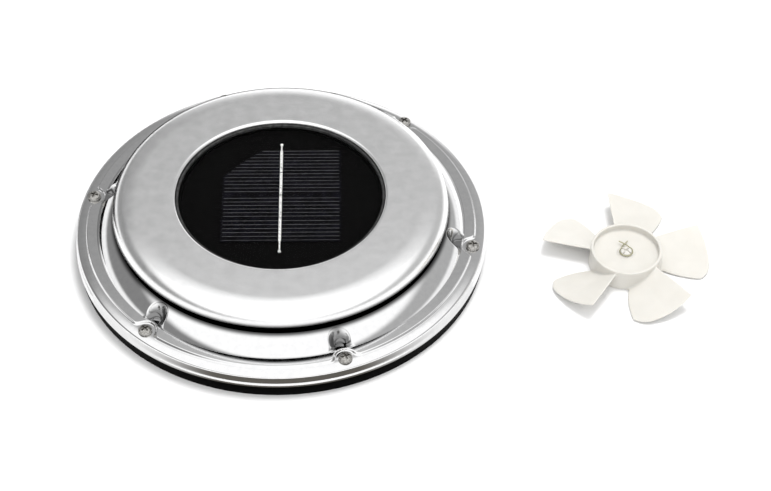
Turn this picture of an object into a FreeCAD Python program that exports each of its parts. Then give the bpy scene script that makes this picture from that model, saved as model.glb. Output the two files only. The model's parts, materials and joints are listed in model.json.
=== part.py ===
"""Solar powered roof vent fan with one spare impeller, in millimetres.

A black plastic base ring stands on the roof. A stainless trim ring covers its rim and is held
by six screws in scallops. A stainless rain cap floats above the trim ring, so air leaves through
the slot between them. Under the cap's window lie four solar cell strips, which drive a flat
motor. A bracket holds the motor under the carrier, and the exhaust impeller turns in the duct.
The intake impeller, of the opposite hand, lies beside the vent.

Frame: +Z up, origin on the roof plane, on the duct's axis. X and Y are level.
"""
import FreeCAD
import Part
import math
import os

V = FreeCAD.Vector
UP = V(0, 0, 1)
ORIGIN = V(0, 0, 0)

# ---- overall sizes -------------------------------------------------------------------------
TRIM_RADIUS = 110.0          # outside of the stainless trim ring
CAP_RADIUS = 89.3            # outside of the rain cap
CAP_TOP = 36.5               # highest face of the vent above the roof
SHEET = 0.8                  # trim ring's steel
CAP_SHEET = 0.7              # rain cap's steel

# ---- base ----------------------------------------------------------------------------------
BASE_GAP = 0.2               # between the base's rim and the trim ring's lip
BASE_FLOOR = 3.0
BASE_WALL = 3.0
DUCT_RADIUS = 47.0
DUCT_WALL = 2.5
DUCT_HEIGHT = 20.0
ROOF_SCREW_PCD = 156.0
ROOF_SCREW_HOLE = 4.8        # diameter
ROOF_SCREW_COUNT = 6
COUNTERSINK = 9.0            # diameter
RIB_WIDTH = 2.0
GASKET_WIDTH = 6.0
GASKET_THICK = 1.5
GASKET_INSET = 16.0          # gasket's outer edge from the base's rim

# ---- trim ring -----------------------------------------------------------------------------
LIP_BOTTOM = 7.1
FLANGE_TOP = 14.6
LIP_CORNER = 1.7
STEP_RISE = 1.0
STEP_INSET = 6.2             # from the trim ring's edge to the step
RING_WIDTH = 5.6             # level ring between the step and the skirt
SKIRT_RISE = 6.4
RIM_SETBACK = 1.8            # the skirt's rim lies this far inside the rain cap's edge
SKIRT_BULGE = 1.0            # how far the skirt's arc stands off its chord
SCREW_INSET = 6.5            # from the trim ring's edge to the screws
SCREW_COUNT = 6
SCREW_ANGLE = -13.5          # azimuth of the first screw
RECESS_RADIUS = 5.7          # round recess in the step at each screw
NICHE_RADIUS = 5.2           # rounded back of the niche in the skirt
NICHE_REACH = 13.5           # from the screw's axis to the back of the niche
NICHE_FLARE = 3.5            # radius of the niche's mouth

# ---- screws --------------------------------------------------------------------------------
TRIM_HEAD_RADIUS = 3.6
TRIM_HEAD_HEIGHT = 2.3
TRIM_SHANK_RADIUS = 1.5
TRIM_SCREW_LENGTH = 8.0
SCREW_CLEARANCE = 0.2        # radial, in a screw's clearance hole
PILOT_CLEARANCE = 0.05
TRIM_HEAD_RIM = 0.8          # upright rim of the head
TRIM_DOME_OUT = 2.6          # the dome passes this radius ...
TRIM_DOME_UP = 1.93          # ... at this height above the head's seat
CROSS_WIDTH = 0.9
CROSS_DEPTH = 1.3
CROSS_REACH = 0.6            # share of the head's radius
CROSS_TURN = 28.0
POINT_RADIUS = 0.2           # a screw's blunt point
PILOT_PAST = 1.0             # pilot hole, past the screw's point
BOSS_WALL = 2.5

# ---- rain cap and window -------------------------------------------------------------------
SHOULDER = 8.0               # radius of the cap's rounded edge
CROWN_SLOPE = 10.0           # slope of the cap's top where its rounded edge starts
CAP_EDGE_DROP = 7.9          # from the cap's top to its lower edge
WINDOW_RADIUS = 54.0
WINDOW_ROLL = 1.5            # radius of the cap's rolled edge round the window
WINDOW_LIP = 0.8             # straight part under the rolled edge
WINDOW_SEAL = 1.35           # seal's width
WINDOW_SEAL_GAP = 0.1
WINDOW_SEAL_PROUD = 0.3      # above the window
WINDOW_DROP = 1.9            # from the cap's top to the window
WINDOW_THICK = 1.2
TRAY_FLOOR = 1.0
TRAY_RIM = 1.4
TRAY_DEPTH = 0.55
TRAY_LAND = 5.6              # width of the carrier's seat under the tray
CAP_STUD_RADIUS = 1.5
CAP_STUD_COUNT = 4
CAP_STUD_ANGLE = 22.5
CAP_STUD_BELOW = 3.4         # under the carrier's plate
NUT_HEIGHT = 2.4
NUT_FLATS = 5.5
THREAD_CLEARANCE = 0.02
CAP_SEAL_THICK = 1.0
CAP_SEAL_GAP = 1.85          # between the window's rolled edge and the seal
CAP_SEAL_WIDTH = 3.0

# ---- solar cells ---------------------------------------------------------------------------
CELL_WIDTH = 63.0
STRIP_COUNT = 4
STRIP_HEIGHT = 17.3
STRIP_GAP = 0.12
CELL_THICK = 0.3
CELL_CORNER = 21.0           # the rounded corner's size along both edges
CELL_CORNER_BULGE = 1.2
CELL_TURN = -2.5             # the cells' turn about Z, in degrees
CELL_SHIFT_X = 0.6
CELL_SHIFT_Y = 1.3
FINGER_WIDTH = 0.34
FINGER_THICK = 0.05
FINGER_MARGIN = 1.0
FINGER_GAP = 0.05            # between a finger and its ribbon
# for each strip from the back: number of fingers, first one's distance from the edge, pitch
FINGER_ROWS = ((7, 0.6, 2.55), (6, 1.1, 2.7), (6, 2.4, 2.7), (6, 2.0, 2.85))
RIBBON_WIDTH = 1.4
RIBBON_THICK = 0.1
RIBBON_OFFSET = -0.5         # ribbon's middle from the cells' middle
RIBBON_GAP = 0.5
TAIL_WIDTH = 0.8
TAIL_BACK = 4.5
TAIL_FRONT = 7.0
TAIL_GAP = 0.02              # between a tail and its ribbon
SOLDER_RADIUS = 0.8

# ---- carrier -------------------------------------------------------------------------------
CARRIER_RADIUS = 84.0
CARRIER_PLATE = 1.6
WIRE_SPACE = 1.65            # between the carrier's plate and the cell tray
POST_CIRCLE = 66.0
POST_RADIUS = 4.0
SPIGOT_RADIUS = 2.6          # on a post's top, in the carrier's plate
SPIGOT_SHORT = 0.2           # below the plate's upper face
POST_COUNT = 4
POST_ANGLE = 45.0
ARM_DEPTH = 5.0              # motor bracket's arms
POST_SCREW_RADIUS = 1.4
POST_SCREW_LENGTH = 12.0
POST_HEAD_RADIUS = 3.0
POST_HEAD_HEIGHT = 1.6
CUP_WALL = 2.0
CUP_CLEARANCE = 0.15
RETAINER_THICK = 1.2
RETAINER_HOLE = 5.0
EAR_OUT = 2.05               # ear screws from the cup's outside
EAR_RADIUS = 2.6
EAR_SCREW_RADIUS = 0.9
EAR_HEAD_RADIUS = 1.8
EAR_HEAD_HEIGHT = 0.9
EAR_SCREW_LENGTH = 6.0

# ---- motor ---------------------------------------------------------------------------------
MOTOR_RADIUS = 12.2
CAN_LENGTH = 10.4
CAN_WALL = 0.8
END_CAP = 1.6
SHAFT_RADIUS = 1.0
RUNNING_CLEARANCE = 0.03
FRONT_BUSH_RADIUS = 3.0
FRONT_BUSH_LENGTH = 2.2
FRONT_BUSH_PROUD = 0.4
REAR_BUSH_RADIUS = 2.4
REAR_BUSH_GAP = 0.1          # from the end cap's inner face
SHAFT_END_GAP = 0.3          # under the carrier's plate
MAGNET_THICK = 2.2
MAGNET_GLUE = 0.05
MAGNET_ARC = 140.0
MAGNET_LENGTH = 8.0
MAGNET_END_GAP = 0.5
AIR_GAP = 0.7                # between the magnets and the armature
CORE_LENGTH = 5.4
SHOE_THICK = 1.0
POLE_COUNT = 3
POLE_WIDTH = 2.4
CORE_HUB_RADIUS = 3.0
SLOT_WIDTH = 1.8
WINDING_OVERHANG = 0.6
WINDING_SIDE = 1.2           # beside the pole
WINDING_HUB_GAP = 0.5
WINDING_SHOE_GAP = 0.1
WINDING_END_GAP = 0.5        # from the shoes to the flat end
COMMUTATOR_RADIUS = 2.3
COMMUTATOR_LENGTH = 1.3
COMMUTATOR_GAP = 0.15        # under the end cap
WASHER_RADIUS = 2.0
WASHER_PLAY = 0.05
BRUSH_THICK = 0.3
BRUSH_HEIGHT = 1.0
BRUSH_RISE = 0.15            # above the commutator's lower end
BRUSH_PAST = 2.0             # past the commutator's middle
BRUSH_TAIL = 8.0
TERMINAL_THICK = 0.5
TERMINAL_WIDTH = 1.8
TERMINAL_ABOVE = 1.0         # above the carrier's plate
LEAD_DIAMETER = 1.1
LEAD_SWEEP = 13.0            # first run's reach out from the terminal
LEAD_KICK = 1.0
LEAD_BULGE = 1.2             # second run's reach, as a share of the first

# ---- impellers -----------------------------------------------------------------------------
IMPELLER_RADIUS = 44.0
HUB_RADIUS = 18.7
HUB_HEIGHT = 12.0
HUB_TAPER = 0.5              # the hub is this much wider at its foot
HUB_WALL = 1.5
HUB_WEB = 1.5
CUP_DEPTH = 4.0              # from the hub's rim down to its web
BOSS_RADIUS = 4.3
BOSS_PROUD = 0.9             # above the web
BOSS_BELOW = 5.0             # under the web
COLLET_RADIUS = 3.0
COLLET_PROUD = 2.6           # above the web
COLLET_SLOT = 0.6
CLIP_WIRE = 0.6
CLIP_PLAY = 0.12             # round the collet and over its shoulder
CLIP_GAP = 0.04              # between the two ends where they cross
CLIP_OPENING = 35.0          # half of the angle over which the wire leaves the collet
CLIP_TAIL = ((1.6, 3.5), (0.0, 5.4), (-1.3, 6.6), (-2.4, 7.6))
CLIP_STEPS = 12
BLADE_COUNT = 5
BLADE_THICK = 1.5
BLADE_ROOT_CHORD = 17.0
BLADE_TIP_CHORD = 29.0
BLADE_HIGH = 10.3            # leading edge above the hub's foot
BLADE_LOW = 0.9              # trailing edge above the hub's foot
BLADE_TWIST = 0.5            # how much flatter a blade is at its tip, each edge
BLADE_CORNER = 8.0           # radius of the trailing corner at the tip
BLADE_CORNER_OUT = 1.5       # how far the corner's centre is moved out
BLADE_PAST = 2.0             # untrimmed blade past the tip circle
ROTOR_CLEARANCE = 2.0        # impeller's foot above the roof plane
SPARE_X = 182.8
SPARE_Y = -27.2
SPARE_ANGLE = 4.0

# ---- modelling -----------------------------------------------------------------------------
PAST = 1.0                   # a cut runs this far past the face it opens
INTO = 0.5                   # fused pieces run this far into each other

# ---- heights and radii that follow ---------------------------------------------------------
BASE_RADIUS = TRIM_RADIUS - SHEET - BASE_GAP
SCREW_CIRCLE = TRIM_RADIUS - SCREW_INSET
STEP_RADIUS = TRIM_RADIUS - STEP_INSET
RING_TOP = FLANGE_TOP + STEP_RISE
CREASE_RADIUS = STEP_RADIUS - RING_WIDTH
RIM_RADIUS = CAP_RADIUS - RIM_SETBACK
RIM_TOP = RING_TOP + SKIRT_RISE
SCREW_BOSS_RADIUS = TRIM_SHANK_RADIUS + BOSS_WALL
FLANGE_UNDER = FLANGE_TOP - SHEET
CAP_UNDER = CAP_TOP - CAP_SHEET
CAP_EDGE = CAP_TOP - CAP_EDGE_DROP
WINDOW_TOP = CAP_TOP - WINDOW_DROP
TRAY_TOP = WINDOW_TOP - WINDOW_THICK
TRAY_SEAT = TRAY_TOP - TRAY_DEPTH
TRAY_BOTTOM = TRAY_SEAT - TRAY_FLOOR
PLATE_TOP = TRAY_BOTTOM - WIRE_SPACE
PLATE_BOTTOM = PLATE_TOP - CARRIER_PLATE
CAN_TOP = PLATE_BOTTOM - END_CAP
CAN_BOTTOM = CAN_TOP - CAN_LENGTH
RETAINER_BOTTOM = CAN_BOTTOM - RETAINER_THICK
CELL_TOP = TRAY_SEAT + CELL_THICK
CELLS_HALF = STRIP_COUNT * STRIP_HEIGHT / 2
ROLL_RADIUS = WINDOW_RADIUS + WINDOW_SEAL + WINDOW_SEAL_GAP
CAP_SEAL_INNER = ROLL_RADIUS + CAP_SHEET + CAP_SEAL_GAP
CAP_SEAL_OUTER = CAP_SEAL_INNER + CAP_SEAL_WIDTH
CAP_STUD_CIRCLE = (CAP_SEAL_OUTER + CAP_RADIUS - SHOULDER) / 2
CROWN_START = CAP_STUD_CIRCLE + CAP_STUD_RADIUS + BOSS_WALL
CUP_INNER = MOTOR_RADIUS + CUP_CLEARANCE
CUP_OUTER = CUP_INNER + CUP_WALL
EAR_CIRCLE = CUP_OUTER + EAR_OUT
CAN_INNER = MOTOR_RADIUS - CAN_WALL
MAGNET_OUTER = CAN_INNER - MAGNET_GLUE
MAGNET_INNER = MAGNET_OUTER - MAGNET_THICK
CORE_RADIUS = MAGNET_INNER - AIR_GAP
MAGNET_BOTTOM = CAN_BOTTOM + CAN_WALL + MAGNET_END_GAP
CORE_BOTTOM = MAGNET_BOTTOM + (MAGNET_LENGTH - CORE_LENGTH) / 2
COMMUTATOR_BOTTOM = CAN_TOP - COMMUTATOR_LENGTH - COMMUTATOR_GAP
BRUSH_BOTTOM = COMMUTATOR_BOTTOM + BRUSH_RISE
BRUSH_INNER = COMMUTATOR_RADIUS + RUNNING_CLEARANCE
HUB_WEB_TOP = HUB_HEIGHT - CUP_DEPTH
SHAFT_BOTTOM = ROTOR_CLEARANCE + HUB_WEB_TOP - HUB_WEB - BOSS_BELOW
LEAD_HEIGHT = TRAY_BOTTOM - SOLDER_RADIUS / 2 - LEAD_DIAMETER / 2


# ---- small helpers -------------------------------------------------------------------------
def cylinder(radius, bottom, top, x=0.0, y=0.0):
    return Part.makeCylinder(radius, top - bottom, V(x, y, bottom), UP)


def tube(outer, inner, bottom, top, x=0.0, y=0.0):
    return cylinder(outer, bottom, top, x, y).cut(cylinder(inner, bottom - PAST, top + PAST, x, y))


def box(x0, y0, z0, x1, y1, z1):
    return Part.makeBox(x1 - x0, y1 - y0, z1 - z0, V(x0, y0, z0))


def turned(shape, degrees):
    copy = shape.copy()
    copy.rotate(ORIGIN, UP, degrees)
    return copy


def moved(shape, x, y, z):
    copy = shape.copy()
    copy.translate(V(x, y, z))
    return copy


def around(shape, count, first):
    """Copies of a shape made on the +X axis, evenly round Z."""
    return [turned(shape, first + k * 360.0 / count) for k in range(count)]


def arc(start, middle, end):
    return Part.Arc(start, middle, end).toShape()


def line(start, end):
    return Part.LineSegment(start, end).toShape()


def revolved(edges):
    """Solid of a closed outline in the XZ plane, turned once round Z."""
    face = Part.Face(Part.Wire(edges))
    return face.revolve(ORIGIN, UP, 360)


def prism(edges, height):
    return Part.Face(Part.Wire(edges)).extrude(V(0, 0, height))


def off(centre, radius, degrees):
    """Point in the XZ plane, off the centre by the radius."""
    a = math.radians(degrees)
    return centre + V(radius * math.cos(a), 0, radius * math.sin(a))


def arc_about(centre, radius, first, last):
    """Arc in the XZ plane about the centre, from one angle to another."""
    return arc(off(centre, radius, first), off(centre, radius, (first + last) / 2),
               off(centre, radius, last))


def polygon(points):
    closed = list(points) + [points[0]]
    return [line(closed[k], closed[k + 1]) for k in range(len(points))]


def fused(first, others):
    return first.fuse(others).removeSplitter()


def save(name, shape):
    solids = shape if isinstance(shape, list) else [shape]
    solids = [solid for item in solids for solid in item.Solids]
    for solid in solids:
        if not solid.isValid():
            raise ValueError(name + " has a solid that isn't valid")
    whole = solids[0] if len(solids) == 1 else Part.makeCompound(solids)
    whole.exportStep("parts/" + name + ".step")
    print(name, len(solids), "solids", round(sum(s.Volume for s in solids), 2), "mm3")


# ---- base ----------------------------------------------------------------------------------
def gasket_ring():
    outer = BASE_RADIUS - GASKET_INSET
    return tube(outer, outer - GASKET_WIDTH, 0, GASKET_THICK)


def make_base():
    floor = tube(BASE_RADIUS, DUCT_RADIUS, 0, BASE_FLOOR)
    corner = LIP_CORNER - SHEET
    bend = V(BASE_RADIUS - corner, 0, FLANGE_UNDER - corner)
    outer_wall = revolved([
        line(V(BASE_RADIUS - BASE_WALL, 0, 0), V(BASE_RADIUS, 0, 0)),
        line(V(BASE_RADIUS, 0, 0), V(BASE_RADIUS, 0, bend.z)),
        arc_about(bend, corner, 0, 90),
        line(V(bend.x, 0, FLANGE_UNDER), V(BASE_RADIUS - BASE_WALL, 0, FLANGE_UNDER)),
        line(V(BASE_RADIUS - BASE_WALL, 0, FLANGE_UNDER), V(BASE_RADIUS - BASE_WALL, 0, 0)),
    ])
    duct = tube(DUCT_RADIUS + DUCT_WALL, DUCT_RADIUS, 0, DUCT_HEIGHT)
    rib_outer = CREASE_RADIUS + RIB_WIDTH / 2
    rib = tube(rib_outer, rib_outer - RIB_WIDTH, 0, RING_TOP - SHEET)
    boss = cylinder(SCREW_BOSS_RADIUS, 0, FLANGE_UNDER, SCREW_CIRCLE)
    bosses = around(boss, SCREW_COUNT, SCREW_ANGLE)
    relief = cylinder(RECESS_RADIUS + SHEET, FLANGE_UNDER, RING_TOP, SCREW_CIRCLE)
    pilot = cylinder(TRIM_SHANK_RADIUS + PILOT_CLEARANCE,
                     FLANGE_TOP - TRIM_SCREW_LENGTH - PILOT_PAST, RING_TOP, SCREW_CIRCLE)
    cuts = around(relief, SCREW_COUNT, SCREW_ANGLE) + around(pilot, SCREW_COUNT, SCREW_ANGLE)
    hole_radius = ROOF_SCREW_HOLE / 2
    roof_hole = cylinder(hole_radius, -PAST, BASE_FLOOR + PAST, ROOF_SCREW_PCD / 2)
    sink_depth = COUNTERSINK / 2 - hole_radius
    sink = Part.makeCone(hole_radius, COUNTERSINK / 2, sink_depth,
                         V(ROOF_SCREW_PCD / 2, 0, BASE_FLOOR - sink_depth), UP)
    step = 360.0 / ROOF_SCREW_COUNT
    cuts += around(roof_hole, ROOF_SCREW_COUNT, SCREW_ANGLE + step / 2)
    cuts += around(sink, ROOF_SCREW_COUNT, SCREW_ANGLE + step / 2)
    post_hole = cylinder(POST_SCREW_RADIUS + SCREW_CLEARANCE, -PAST, BASE_FLOOR + PAST, POST_CIRCLE)
    head_hole = cylinder(POST_HEAD_RADIUS + SCREW_CLEARANCE, -PAST,
                         POST_HEAD_HEIGHT + SCREW_CLEARANCE, POST_CIRCLE)
    cuts += around(post_hole, POST_COUNT, POST_ANGLE) + around(head_hole, POST_COUNT, POST_ANGLE)
    cuts.append(gasket_ring())
    return fused(floor, [outer_wall, duct, rib] + bosses).cut(cuts)


# ---- trim ring -----------------------------------------------------------------------------
def skirt_arc(inset):
    """The skirt's arc from the crease to the rim, moved inwards by the sheet where asked."""
    start = V(CREASE_RADIUS, 0, RING_TOP)
    end = V(RIM_RADIUS, 0, RIM_TOP)
    along = (end - start).normalize()
    normal = V(-along.z, 0, along.x)
    if normal.z < 0:
        normal = normal * -1
    middle = (start + end) * 0.5 + normal * SKIRT_BULGE
    shift = normal * inset
    return start - shift, middle - shift, end - shift


def under_trim(sheet, past):
    """Solid under the trim ring's outer face, or under its inner face where sheet is its steel.

    It runs past the ring's open foot and rim as told.
    """
    start, middle, end = skirt_arc(sheet)
    outer = TRIM_RADIUS - sheet
    top = FLANGE_TOP - sheet
    corner = V(TRIM_RADIUS - LIP_CORNER, 0, FLANGE_TOP - LIP_CORNER)
    foot = LIP_BOTTOM - past
    step = STEP_RADIUS - sheet
    inner = RIM_RADIUS - past
    crease = V(start.x, 0, RING_TOP - sheet)
    edges = [
        line(V(inner, 0, foot), V(outer, 0, foot)),
        line(V(outer, 0, foot), V(outer, 0, corner.z)),
        arc_about(corner, LIP_CORNER - sheet, 0, 90),
        line(V(corner.x, 0, top), V(step, 0, top)),
        line(V(step, 0, top), V(step, 0, crease.z)),
        line(V(step, 0, crease.z), crease),
        arc(start, middle, end),
        line(V(inner, 0, end.z), V(inner, 0, foot)),
    ]
    if sheet:
        edges[6:6] = [line(crease, start)]
        edges[8:8] = [line(end, V(inner, 0, end.z))]
    return revolved(edges)


def niche(sheet, bottom):
    """Bell shaped prism that is cut from the skirt behind a screw."""
    radius = NICHE_RADIUS + sheet
    flare = NICHE_FLARE - sheet
    centre = SCREW_CIRCLE - NICHE_REACH + NICHE_RADIUS
    mouth = centre + flare
    half = radius + flare
    diagonal = math.sqrt(0.5)
    bend_x = centre + flare * diagonal
    bend_y = half - flare * diagonal
    edges = [
        arc(V(mouth, -half, bottom), V(bend_x, -bend_y, bottom), V(centre, -radius, bottom)),
        arc(V(centre, -radius, bottom), V(centre - radius, 0, bottom), V(centre, radius, bottom)),
        arc(V(centre, radius, bottom), V(bend_x, bend_y, bottom), V(mouth, half, bottom)),
        line(V(mouth, half, bottom), V(SCREW_CIRCLE, half, bottom)),
        line(V(SCREW_CIRCLE, half, bottom), V(SCREW_CIRCLE, -half, bottom)),
        line(V(SCREW_CIRCLE, -half, bottom), V(mouth, -half, bottom)),
    ]
    return prism(edges, RIM_TOP)


def make_trim_ring():
    recess = cylinder(RECESS_RADIUS, FLANGE_TOP, RIM_TOP, SCREW_CIRCLE)
    recess_under = cylinder(RECESS_RADIUS + SHEET, FLANGE_UNDER, RIM_TOP, SCREW_CIRCLE)
    outer_cuts = around(recess, SCREW_COUNT, SCREW_ANGLE)
    outer_cuts += around(niche(0.0, RING_TOP), SCREW_COUNT, SCREW_ANGLE)
    inner_cuts = around(recess_under, SCREW_COUNT, SCREW_ANGLE)
    inner_cuts += around(niche(SHEET, RING_TOP - SHEET), SCREW_COUNT, SCREW_ANGLE)
    outer = under_trim(0.0, 0.0).cut(outer_cuts)
    inner = under_trim(SHEET, PAST).cut(inner_cuts)
    hole = cylinder(TRIM_SHANK_RADIUS + SCREW_CLEARANCE, FLANGE_UNDER - PAST, RIM_TOP, SCREW_CIRCLE)
    return outer.cut([inner] + around(hole, SCREW_COUNT, SCREW_ANGLE))


def cross_slots(reach, bottom, top):
    """The two slots of a cross recess."""
    slot = box(-reach, -CROSS_WIDTH / 2, bottom, reach, CROSS_WIDTH / 2, top)
    return [slot, turned(slot, 90)]


def make_trim_screws():
    head = revolved([
        line(ORIGIN, V(TRIM_HEAD_RADIUS, 0, 0)),
        line(V(TRIM_HEAD_RADIUS, 0, 0), V(TRIM_HEAD_RADIUS, 0, TRIM_HEAD_RIM)),
        arc(V(TRIM_HEAD_RADIUS, 0, TRIM_HEAD_RIM), V(TRIM_DOME_OUT, 0, TRIM_DOME_UP),
            V(0, 0, TRIM_HEAD_HEIGHT)),
        line(V(0, 0, TRIM_HEAD_HEIGHT), ORIGIN),
    ])
    shank = cylinder(TRIM_SHANK_RADIUS, -TRIM_SCREW_LENGTH + TRIM_SHANK_RADIUS, INTO)
    tip = Part.makeCone(POINT_RADIUS, TRIM_SHANK_RADIUS, TRIM_SHANK_RADIUS,
                        V(0, 0, -TRIM_SCREW_LENGTH), UP)
    slots = cross_slots(TRIM_HEAD_RADIUS * CROSS_REACH, TRIM_HEAD_HEIGHT - CROSS_DEPTH,
                        TRIM_HEAD_HEIGHT + PAST)
    screw = fused(head, [shank, tip]).cut(slots)
    placed = moved(turned(screw, CROSS_TURN), SCREW_CIRCLE, 0, FLANGE_TOP)
    return around(placed, SCREW_COUNT, SCREW_ANGLE)


# ---- rain cap and window -------------------------------------------------------------------
def make_cap():
    slope = math.sin(math.radians(CROWN_SLOPE))
    crown_radius = SHOULDER + (CAP_RADIUS - SHOULDER - CROWN_START) / slope
    crown = V(CROWN_START, 0, CAP_TOP - crown_radius)
    shoulder = off(crown, crown_radius - SHOULDER, 90 - CROWN_SLOPE)
    end = math.degrees(math.asin((CAP_EDGE - shoulder.z) / SHOULDER))
    roll = V(ROLL_RADIUS + WINDOW_ROLL, 0, CAP_TOP - WINDOW_ROLL)
    lip = roll.z - WINDOW_LIP
    inner = SHOULDER - CAP_SHEET
    return revolved([
        line(V(ROLL_RADIUS, 0, lip), V(ROLL_RADIUS, 0, roll.z)),
        arc_about(roll, WINDOW_ROLL, 180, 90),
        line(V(roll.x, 0, CAP_TOP), V(crown.x, 0, CAP_TOP)),
        arc_about(crown, crown_radius, 90, 90 - CROWN_SLOPE),
        arc_about(shoulder, SHOULDER, 90 - CROWN_SLOPE, end),
        line(off(shoulder, SHOULDER, end), off(shoulder, inner, end)),
        arc_about(shoulder, inner, end, 90 - CROWN_SLOPE),
        arc_about(crown, crown_radius - CAP_SHEET, 90 - CROWN_SLOPE, 90),
        line(V(crown.x, 0, CAP_UNDER), V(roll.x, 0, CAP_UNDER)),
        arc_about(roll, WINDOW_ROLL - CAP_SHEET, 90, 180),
        line(V(ROLL_RADIUS + CAP_SHEET, 0, roll.z), V(ROLL_RADIUS + CAP_SHEET, 0, lip)),
        line(V(ROLL_RADIUS + CAP_SHEET, 0, lip), V(ROLL_RADIUS, 0, lip)),
    ])


def make_window():
    return cylinder(WINDOW_RADIUS, TRAY_TOP, WINDOW_TOP)


def make_window_seal():
    top = WINDOW_TOP + WINDOW_SEAL_PROUD
    return tube(WINDOW_RADIUS + WINDOW_SEAL, WINDOW_RADIUS, TRAY_BOTTOM, top)


def on_tray(shape):
    return moved(turned(shape, CELL_TURN), CELL_SHIFT_X, CELL_SHIFT_Y, 0)


def tail_points():
    """Where the first and the last ribbon's tails end, in the vent's frame."""
    back = V(RIBBON_OFFSET, CELLS_HALF + TAIL_BACK, 0)
    front = V(RIBBON_OFFSET, -CELLS_HALF - TAIL_FRONT, 0)
    return [on_tray(Part.Vertex(point)).Point for point in (back, front)]


def make_tray():
    floor = cylinder(WINDOW_RADIUS, TRAY_BOTTOM, TRAY_SEAT)
    rim = tube(WINDOW_RADIUS, WINDOW_RADIUS - TRAY_RIM, TRAY_BOTTOM, TRAY_TOP)
    holes = [cylinder(SOLDER_RADIUS + PILOT_CLEARANCE, TRAY_BOTTOM - PAST, TRAY_TOP + PAST, p.x, p.y)
             for p in tail_points()]
    return fused(floor, [rim]).cut(holes)


def cell_outline(bottom, height, inset):
    """All four strips as one plate, with its rounded corner at the back left."""
    half = CELL_WIDTH / 2 - inset
    deep = CELLS_HALF - inset
    corner = CELL_CORNER - inset * (2 - math.sqrt(2))
    bulge = CELL_CORNER_BULGE * math.sqrt(0.5)
    middle = V(-half + corner / 2 - bulge, deep - corner / 2 + bulge, bottom)
    edges = [
        line(V(-half, deep - corner, bottom), V(-half, -deep, bottom)),
        line(V(-half, -deep, bottom), V(half, -deep, bottom)),
        line(V(half, -deep, bottom), V(half, deep, bottom)),
        line(V(half, deep, bottom), V(-half + corner, deep, bottom)),
        arc(V(-half + corner, deep, bottom), middle, V(-half, deep - corner, bottom)),
    ]
    return prism(edges, height)


def strip_back(index):
    """Back edge of a strip, counted from the back."""
    return CELLS_HALF - index * STRIP_HEIGHT


def make_cells():
    plate = cell_outline(TRAY_SEAT, CELL_THICK, 0)
    strips = []
    for index in range(STRIP_COUNT):
        back = strip_back(index) - STRIP_GAP / 2
        front = strip_back(index + 1) + STRIP_GAP / 2
        slab = box(-CELL_WIDTH, front, TRAY_SEAT - PAST, CELL_WIDTH, back, TRAY_TOP)
        strips.append(on_tray(plate.common(slab)))
    return strips


def make_fingers():
    field = cell_outline(CELL_TOP, FINGER_THICK, FINGER_MARGIN)
    field = field.fuse(moved(field, 0, FINGER_MARGIN, 0)).removeSplitter()
    half_gap = RIBBON_WIDTH / 2 + FINGER_GAP
    gap = box(RIBBON_OFFSET - half_gap, -CELL_WIDTH, CELL_TOP - PAST,
              RIBBON_OFFSET + half_gap, CELL_WIDTH, CELL_TOP + PAST)
    half = FINGER_WIDTH / 2
    fingers = []
    for index, (count, first, pitch) in enumerate(FINGER_ROWS):
        for k in range(count):
            y = strip_back(index) - first - k * pitch
            bar = box(-CELL_WIDTH, y - half, CELL_TOP, CELL_WIDTH, y + half, CELL_TOP + FINGER_THICK)
            fingers += on_tray(field.common(bar).cut(gap)).Solids
    return fingers


def make_ribbons():
    half = RIBBON_WIDTH / 2
    top = CELL_TOP + RIBBON_THICK
    ribbons = []
    for index in range(STRIP_COUNT):
        back = strip_back(index) - RIBBON_GAP / 2
        front = strip_back(index + 1) + RIBBON_GAP / 2
        strip = box(RIBBON_OFFSET - half, front, CELL_TOP, RIBBON_OFFSET + half, back, top)
        ribbons.append(on_tray(strip))
    return ribbons


def make_solder_tails():
    """A thin strip from each end ribbon to a round pin through the tray."""
    left = RIBBON_OFFSET - TAIL_WIDTH / 2
    right = RIBBON_OFFSET + TAIL_WIDTH / 2
    top = CELL_TOP + RIBBON_THICK
    inner = CELLS_HALF - RIBBON_GAP / 2 + TAIL_GAP
    back = box(left, inner, CELL_TOP, right, CELLS_HALF + TAIL_BACK, top)
    front = box(left, -CELLS_HALF - TAIL_FRONT, CELL_TOP, right, -inner, top)
    tails = []
    for strip, point in zip((on_tray(back), on_tray(front)), tail_points()):
        pin = cylinder(SOLDER_RADIUS, TRAY_BOTTOM - SOLDER_RADIUS / 2, top, point.x, point.y)
        tails.append(fused(strip, [pin]))
    return tails


def make_cap_seal():
    return tube(CAP_SEAL_OUTER, CAP_SEAL_INNER, CAP_UNDER - CAP_SEAL_THICK, CAP_UNDER)


def make_cap_studs():
    stud = cylinder(CAP_STUD_RADIUS, PLATE_BOTTOM - CAP_STUD_BELOW, CAP_UNDER, CAP_STUD_CIRCLE)
    return around(stud, CAP_STUD_COUNT, CAP_STUD_ANGLE)


def make_cap_nuts():
    corner = NUT_FLATS / math.sqrt(3)
    points = [V(corner * math.cos(math.radians(60 * k)), corner * math.sin(math.radians(60 * k)), 0)
              for k in range(6)]
    hole = cylinder(CAP_STUD_RADIUS + THREAD_CLEARANCE, -PAST, NUT_HEIGHT + PAST)
    nut = prism(polygon(points), NUT_HEIGHT).cut(hole)
    placed = moved(nut, CAP_STUD_CIRCLE, 0, PLATE_BOTTOM - NUT_HEIGHT)
    return around(placed, CAP_STUD_COUNT, CAP_STUD_ANGLE)


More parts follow.
